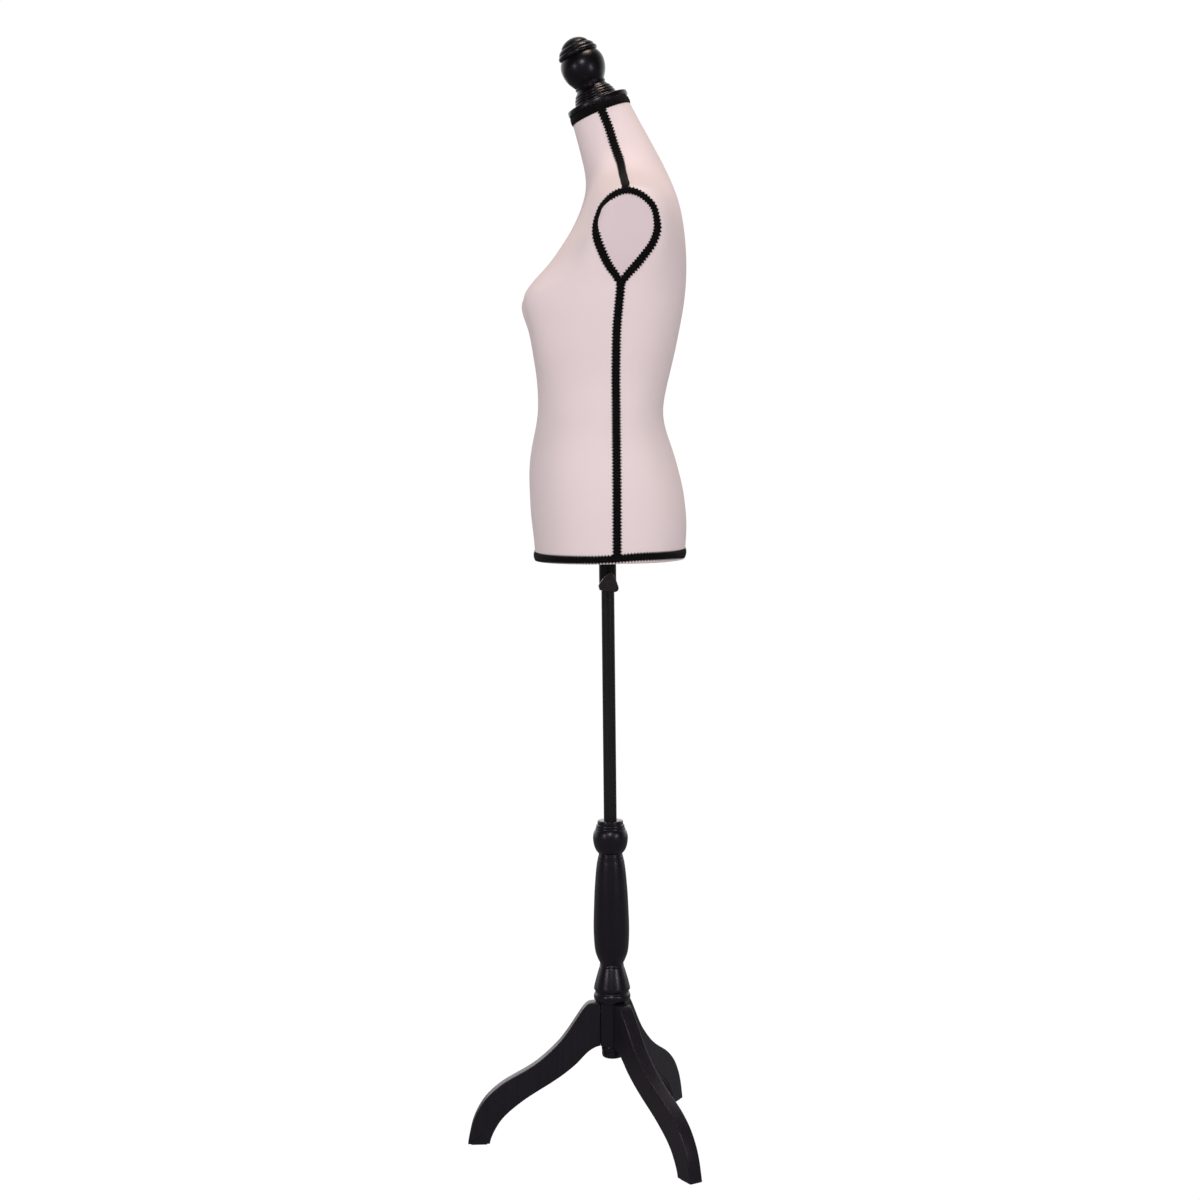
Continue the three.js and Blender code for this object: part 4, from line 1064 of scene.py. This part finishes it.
def clamp_knob():
    contour = []
    for i in range(180):
        angle = 2 * math.pi * i / 180
        lobe = angle - math.radians(80)
        radius = 13.9 + 2.55 * math.cos(3 * lobe) + 0.45 * math.cos(6 * lobe)
        contour.append((radius * math.cos(angle), radius * math.sin(angle)))
    head_place = np.array([(0, 1, 0), (0, 0, 1), (1, 0, 0), (KNOB_X, 0, CLAMP_Z)], float)
    head = rounded_plate("knob_head", contour, KNOB_HALF, radius=1.7, placement=head_place)
    collar = lathe("knob_collar", KNOB_COLLAR, step=0.4, segments=48, placement=CLAMP_PLACE)
    boss = lathe("knob_boss", KNOB_BOSS, step=0.3, segments=48, placement=CLAMP_PLACE)
    knob = join("clamp_knob_three_lobe", [head, collar, boss])
    sharp_edges(knob, 45)
    dress(knob, KNOB, "clamp_handle", "clamp_knob")


def clamp_screw():
    """A rod with a helical ridge that fades out at both ends."""
    radius, start, end, pitch, depth = 4.0, 12.2, 33.0, 1.25, 0.55
    segments, rings_per_turn = 48, 8
    fade_length = pitch * 0.8
    angle = 2 * math.pi * np.arange(segments) / segments
    rings = []
    for z in np.linspace(start, end, int((end - start) / pitch * rings_per_turn) + 1):
        turn = (z - start) / pitch - np.arange(segments) / segments
        ridge = np.abs((turn % 1.0) - 0.5) * 2
        fade = min(1.0, (z - start) / fade_length, (end - z) / fade_length)
        r = radius - depth + depth * ridge * fade
        rings.append(np.stack([r * np.cos(angle), r * np.sin(angle), np.full(segments, z)], 1))
    points = np.concatenate(rings + [np.array([[0, 0, start], [0, 0, end]])])
    faces = [list(face) for face in ring_faces(len(rings), segments)]
    start_point = len(rings) * segments
    end_point, last = start_point + 1, start_point - segments
    for j in range(segments):
        k = (j + 1) % segments
        faces += [[start_point, k, j], [end_point, last + j, last + k]]
    ob = mesh_object("clamp_screw_thread", placed(points, CLAMP_PLACE), faces)
    dress(ob, ZINC, "clamp_handle", "clamp_screw")


clamp_knob()
clamp_screw()

# ------------------------------------------------------------------ pole and column
POLE_RADIUS, POLE_BORE = 10.0, 8.5
POLE_BOTTOM, POLE_TOP = 430.3, 1016
POLE = [
    (POLE_BORE, POLE_BOTTOM), (POLE_RADIUS, POLE_BOTTOM), (POLE_RADIUS, POLE_TOP),
    (POLE_BORE, POLE_TOP), (POLE_BORE, POLE_BOTTOM)]
SOCKET_RADIUS = POLE_RADIUS + 0.35  # hole for the pole in the top of the column
# From the stud hole in the foot, up the outside and down into the pole's socket
COLUMN = [
    (0, 262.3), (5.4, 262.3), (5.4, 223.0), (25.4, 223.0),
    [(27.0, 225.0), (28.2, 228.0), (28.5, 231.0), (28.1, 234.2), (27.0, 236.6), (26.1, 237.8)],
    [(25.9, 239.0), (26.9, 241.2)],
    [(28.0, 242.4), (28.2, 244.4), (27.7, 247.2)],
    [(25.2, 257.2), (22.4, 267.0), (20.4, 273.6), (19.0, 278.0)], (18.4, 278.6),
    [(18.9, 279.6), (18.7, 281.0), (18.0, 282.0)],
    [(18.4, 284.0), (20.4, 288.0), (22.4, 292.8), (24.4, 298.2), (25.9, 305.0), (26.8, 313.0),
     (27.4, 323.0), (27.7, 333.0), (27.75, 343.0), (27.5, 354.0), (26.9, 370.0), (25.8, 395.0),
     (24.4, 414.0), (22.6, 433.0), (21.0, 444.0), (20.5, 447.0)], (20.0, 447.4),
    [(19.8, 449.4), (19.5, 451.6)], (19.0, 452.0),
    [(18.7, 453.6), (18.4, 455.4), (18.2, 456.5)],
    [(20.6, 458.9), (23.0, 462.4), (24.9, 466.8), (26.3, 472.4), (27.0, 478.4), (27.0, 482.6),
     (26.4, 487.0), (25.2, 491.0), (23.9, 493.6)], (22.9, 494.2),
    [(23.0, 495.4), (22.6, 497.0)], (21.8, 497.5),
    [(22.0, 499.0), (21.5, 501.4)], (19.9, 502.2), (19.8, 506.8),
    [(19.5, 507.7), (18.7, 508.0)],
    (SOCKET_RADIUS, 508.0), (SOCKET_RADIUS, 430.0), (0, 430.0)]

pole = lathe("pole_tube", POLE, crease=35)
dress(pole, STEEL, "stand", "pole")
column = lathe("turned_column", COLUMN, step=0.8, segments=112, crease=32)
dress(column, WOOD_TURNED, "stand", "column")

# ------------------------------------------------------------------ hub and legs
HUB_BOTTOM, HUB_TOP = 154, 222.7
HUB_FLAT = 19.0                     # from the axis to a flat of the hexagon
STUB = [
    (0, 156), (16.4, 156), (16.6, 153.0), [(16.9, 152.2), (16.9, 145.4)],
    [(16.3, 145.0), (16.9, 144.6)],
    [(16.8, 140.0), (16.2, 136.6), (14.6, 134.7), (12.0, 134.0)], (0, 134.0)]
# Leg outline: (distance from the pole axis, z), top edge outwards, then bottom edge inwards
LEG_TOP_EDGE = [
    (19.3, 222.4), (28, 222.6), (34.0, 222.0), (37.6, 220.9), (40.6, 218.8), (43.6, 215.6),
    (48.8, 208.9), (55.1, 199.5), (61.5, 190.1), (67.8, 180.6), (74.2, 171.9), (80.5, 163.9),
    (86.8, 157.0), (93.1, 150.6), (99.4, 144.6), (105.8, 138.9), (112.1, 133.6),
    (118.4, 128.8), (124.7, 124.4), (131.0, 120.4), (137.3, 116.6), (143.6, 113.1),
    (149.8, 109.8), (156.1, 106.4), (162.4, 102.9), (168.7, 99.2), (175.0, 95.0),
    (181.3, 90.3), (187.7, 85.0), (194.0, 79.1), (200.3, 72.2), (206.7, 63.4), (213.2, 52.2),
    (219.6, 37.4), (223.4, 24.0), (226.3, 10.5), (228.0, 1.8)]
LEG_BOTTOM_EDGE = [
    (193.9, 1.8), (192.4, 8.2), (188.7, 17.4), (182.2, 29.4), (175.9, 38.6), (169.5, 45.8),
    (163.2, 51.8), (156.8, 57.2), (150.5, 62.2), (144.2, 66.9), (137.9, 71.4), (131.6, 75.6),
    (125.3, 79.6), (119.0, 83.5), (112.7, 87.3), (106.4, 91.1), (100.1, 94.9), (93.8, 98.9),
    (87.5, 103.0), (81.2, 107.3), (74.9, 111.8), (68.6, 116.6), (62.3, 121.8), (56.0, 127.4),
    (49.7, 133.9), (43.3, 140.6), (37.0, 146.2), (31.5, 149.9), (26.5, 152.4), (19.3, 154.4)]
# Degrees round the pole from +x; these names call +x right, as seen from the front
LEG_ANGLES = {"front": -90, "rear_right": 30, "rear_left": 150}
LEG_HALF = 11.0


def hub():
    """Hexagonal block with a turned stub below."""
    angles = [math.radians(60 * i + STAND_TURN) for i in range(7)]
    corners = [np.array([math.cos(a), math.sin(a)]) * HUB_FLAT / math.cos(math.pi / 6)
               for a in angles]
    contour = []
    for start, end in zip(corners, corners[1:]):
        along = (end - start) / np.linalg.norm(end - start)
        contour += [start + along * 0.9, start + along * 2.2, end - along * 2.2,
                    end - along * 0.9]
    place = np.vstack([np.eye(3), (0, 0, (HUB_BOTTOM + HUB_TOP) / 2)])
    block = rounded_plate("hub_hex", contour, (HUB_TOP - HUB_BOTTOM) / 2, radius=0.9,
                          placement=place, steps=4, support=0.6)
    stub = lathe("hub_stub", STUB, step=0.5)
    joined = join("hub_block", [block, stub])
    sharp_edges(joined, 40)
    dress(joined, WOOD_TURNED, "stand", "hub")


def legs():
    contour = []
    for edge in (LEG_TOP_EDGE, LEG_BOTTOM_EDGE):
        lengths, curve = curve_through(edge)
        contour.append(curve(np.linspace(0, lengths[-1], int(lengths[-1] / 2.4))))
    contour = np.vstack(contour)
    for tag, degrees in LEG_ANGLES.items():
        c, s = (f(math.radians(degrees + STAND_TURN)) for f in (math.cos, math.sin))
        # Local x outwards, y up, z across the leg
        place = np.array([(c, s, 0), (0, 0, 1), (s, -c, 0), (0, 0, 0)], float)
        leg = rounded_plate("sawn_leg_" + tag, contour, LEG_HALF, radius=1.7, placement=place)
        sharp_edges(leg, 40)
        dress(leg, WOOD_LEG, "stand", "leg_" + tag)


hub()
legs()


# ------------------------------------------------------------------ CAD nodes that stay
def per_leg(part):
    return [f"{part}_{leg}" for leg in LEG_ANGLES]


KEPT_NODES = {
    ZINC: ["column_stud", "finial_stud", "flange_screw_1", "flange_screw_2", "flange_screw_3",
           *per_leg("leg_bolt")],
    BOARD: [*per_leg("leg_dowel"), "neck_block", "base_board", "chest_board"],
    NYLON: ["pole_plug", "lower_bush", "upper_bush", "clamp_pad"],
    STEEL: ["clamp_nut"],
    FELT: per_leg("foot_pad"),
}
for material, names in KEPT_NODES.items():
    for name in names:
        ob = frame["nodes"][name]
        if not ob.material_slots:
            ob.data.materials.append(material)
        for slot in ob.material_slots:
            slot.material = material

# ------------------------------------------------------------------ floor
BACKDROP_WHITE = 1.02               # brightness of floor and world as the camera sees them


def floor_material():
    """White to the camera, dim in reflections, and clear from below to show the underside."""
    net = Material("floor_white")
    net.surface(Base_Color=(0.74, 0.74, 0.74), Roughness=0.9, Specular_IOR_Level=0.0)
    ray = net.node("LightPath").outputs

    def glow(strength):
        return net.node("Emission", {"Color": (1, 1, 1), "Strength": strength}).outputs[0]

    def mix(factor, shader, other):
        return net.node("MixShader", {0: factor, 1: shader, 2: other}).outputs[0]

    shader = mix(ray["Is Glossy Ray"], net.bsdf.outputs[0], glow(0.16))
    shader = mix(ray["Is Camera Ray"], shader, glow(BACKDROP_WHITE))
    below = net.node("NewGeometry").outputs["Backfacing"]
    shader = mix(below, shader, net.node("BsdfTransparent").outputs[0])
    net.feed(net.tree.nodes["Material Output"].inputs["Surface"], shader)
    return net.material


floor_mesh = bpy.data.meshes.new("floor")
floor_mesh.from_pydata(
    [(-12, -12, 0), (12, -12, 0), (12, 12, 0), (-12, 12, 0)], [], [(0, 1, 2, 3)])
floor = bpy.data.objects.new("floor", floor_mesh)
bpy.context.scene.collection.objects.link(floor)
floor_mesh.materials.append(floor_material())

# ------------------------------------------------------------------ camera
# The camera stands on the +x side and looks towards -x, so the form's back is at its right
CAMERA_AZIMUTH = math.radians(86.5)         # direction of the camera's right, from +x
CAMERA_PITCH = math.radians(4.212)          # downwards
CAMERA_ROLL = -0.010934864                  # radians
CAMERA_ASIDE, CAMERA_AHEAD, CAMERA_Z = -12.19, -3029.56, 1073.74    # mm from the pole's foot
RIGHT = np.array([math.cos(CAMERA_AZIMUTH), math.sin(CAMERA_AZIMUTH), 0.0])
AHEAD = np.array([-math.sin(CAMERA_AZIMUTH), math.cos(CAMERA_AZIMUTH), 0.0])


def add_camera():
    view = AHEAD * math.cos(CAMERA_PITCH) + np.array([0, 0, -math.sin(CAMERA_PITCH)])
    level_up = np.cross(RIGHT, view)
    right = math.cos(CAMERA_ROLL) * RIGHT + math.sin(CAMERA_ROLL) * level_up
    up = -math.sin(CAMERA_ROLL) * RIGHT + math.cos(CAMERA_ROLL) * level_up
    eye = to_row(RIGHT * CAMERA_ASIDE + AHEAD * CAMERA_AHEAD + np.array([0, 0, CAMERA_Z]))[0]
    data = bpy.data.cameras.new("camera")
    data.sensor_fit = "HORIZONTAL"
    data.sensor_width = 36.0
    data.lens = 59.21901
    data.clip_end = 60
    camera = bpy.data.objects.new("camera", data)
    rows = [tuple(row) for row in np.stack([right, up, -view, eye], axis=1)]
    camera.matrix_world = Matrix((*rows, (0, 0, 0, 1)))
    bpy.context.scene.collection.objects.link(camera)
    bpy.context.scene.camera = camera


add_camera()

# ------------------------------------------------------------------ lights, metres and watts
POLE_AT = (POLE_X / 1000.0, POLE_Y / 1000.0)
COOL, WARM = (0.97, 0.97, 1.0), (1.0, 0.84, 0.68)
KEY_DISTANCE = 2.9


def area_light(name, where, target, size, power, color):
    data = bpy.data.lights.new(name, "AREA")
    data.shape = "DISK"
    data.size = size
    data.energy = power
    data.color = color
    ob = bpy.data.objects.new(name, data)
    where, target = Vector(where), Vector(target)
    turn = (target - where).to_track_quat("-Z", "Y").to_matrix().to_4x4()
    ob.matrix_world = Matrix.Translation(where) @ turn
    bpy.context.scene.collection.objects.link(ob)


def key_light(name, degrees, z, target_z, size, power):
    """A light aimed at the pole axis, turned round it from the camera towards its right."""
    angle = math.radians(degrees)
    away = (RIGHT * math.sin(angle) - AHEAD * math.cos(angle)) * KEY_DISTANCE
    where = (float(away[0]) + POLE_AT[0], float(away[1]) + POLE_AT[1], z)
    area_light(name, where, (*POLE_AT, target_z), size, power, COOL)


key_light("key_left", degrees=-43, z=1.27, target_z=1.15, size=0.5, power=7.5)
key_light("key_right", degrees=41, z=1.27, target_z=1.15, size=0.5, power=9.0)
key_light("key_top", degrees=-4, z=2.3, target_z=1.2, size=0.6, power=21)
area_light("warm_overhead", where=(POLE_AT[0] + 0.12, POLE_AT[1] + 0.2, 3.5),
           target=(POLE_AT[0], POLE_AT[1] + 0.02, 1.5), size=0.8, power=22, color=WARM)


# ------------------------------------------------------------------ world
def studio():
    """White to the camera, with a soft fill that is strongest from the camera's side. Mirror
    reflections see a dark room in front and a bright backdrop behind the form, so that black
    lacquer stays black and its rims catch the backdrop."""
    world = bpy.data.worlds.new("studio")
    bpy.context.scene.world = world
    world.use_nodes = True
    net = Nodes(world.node_tree)
    direction = net.coord("Generated")
    ray = net.node("LightPath").outputs

    def mix(factor, value, other):
        return net.node("Mix", {"Factor": factor, 2: value, 3: other},
                        data_type="FLOAT").outputs[0]

    def dim_above(value, share):
        return net.mul(value, net.sub(1.0, net.mul(high, share)))

    to_camera = tuple(float(v) for v in -AHEAD)
    facing = net.node("VectorMath", {0: direction, 1: to_camera}, operation="DOT_PRODUCT")
    facing = facing.outputs["Value"]
    high = net.math("MAXIMUM", net.split(direction)["Z"], 0.0)
    camera_side = net.math("MAXIMUM", facing, 0.0)
    backdrop = net.math("MAXIMUM", net.mul(facing, -1.0), 0.0)
    # Base level plus the share from one side, less what is lost overhead
    fill = dim_above(net.add(0.73, net.mul(camera_side, 0.24)), 0.35)
    shine = net.add(0.06, net.mul(net.math("POWER", backdrop, 1.2), 2.0))
    shine = dim_above(shine, 0.8)
    level = mix(ray["Is Glossy Ray"], fill, shine)
    background = net.tree.nodes["Background"]
    net.feed(background.inputs["Color"], (1, 1, 1))
    net.feed(background.inputs["Strength"], mix(ray["Is Camera Ray"], level, BACKDROP_WHITE))


studio()
bpy.context.scene.view_settings.view_transform = "Standard"
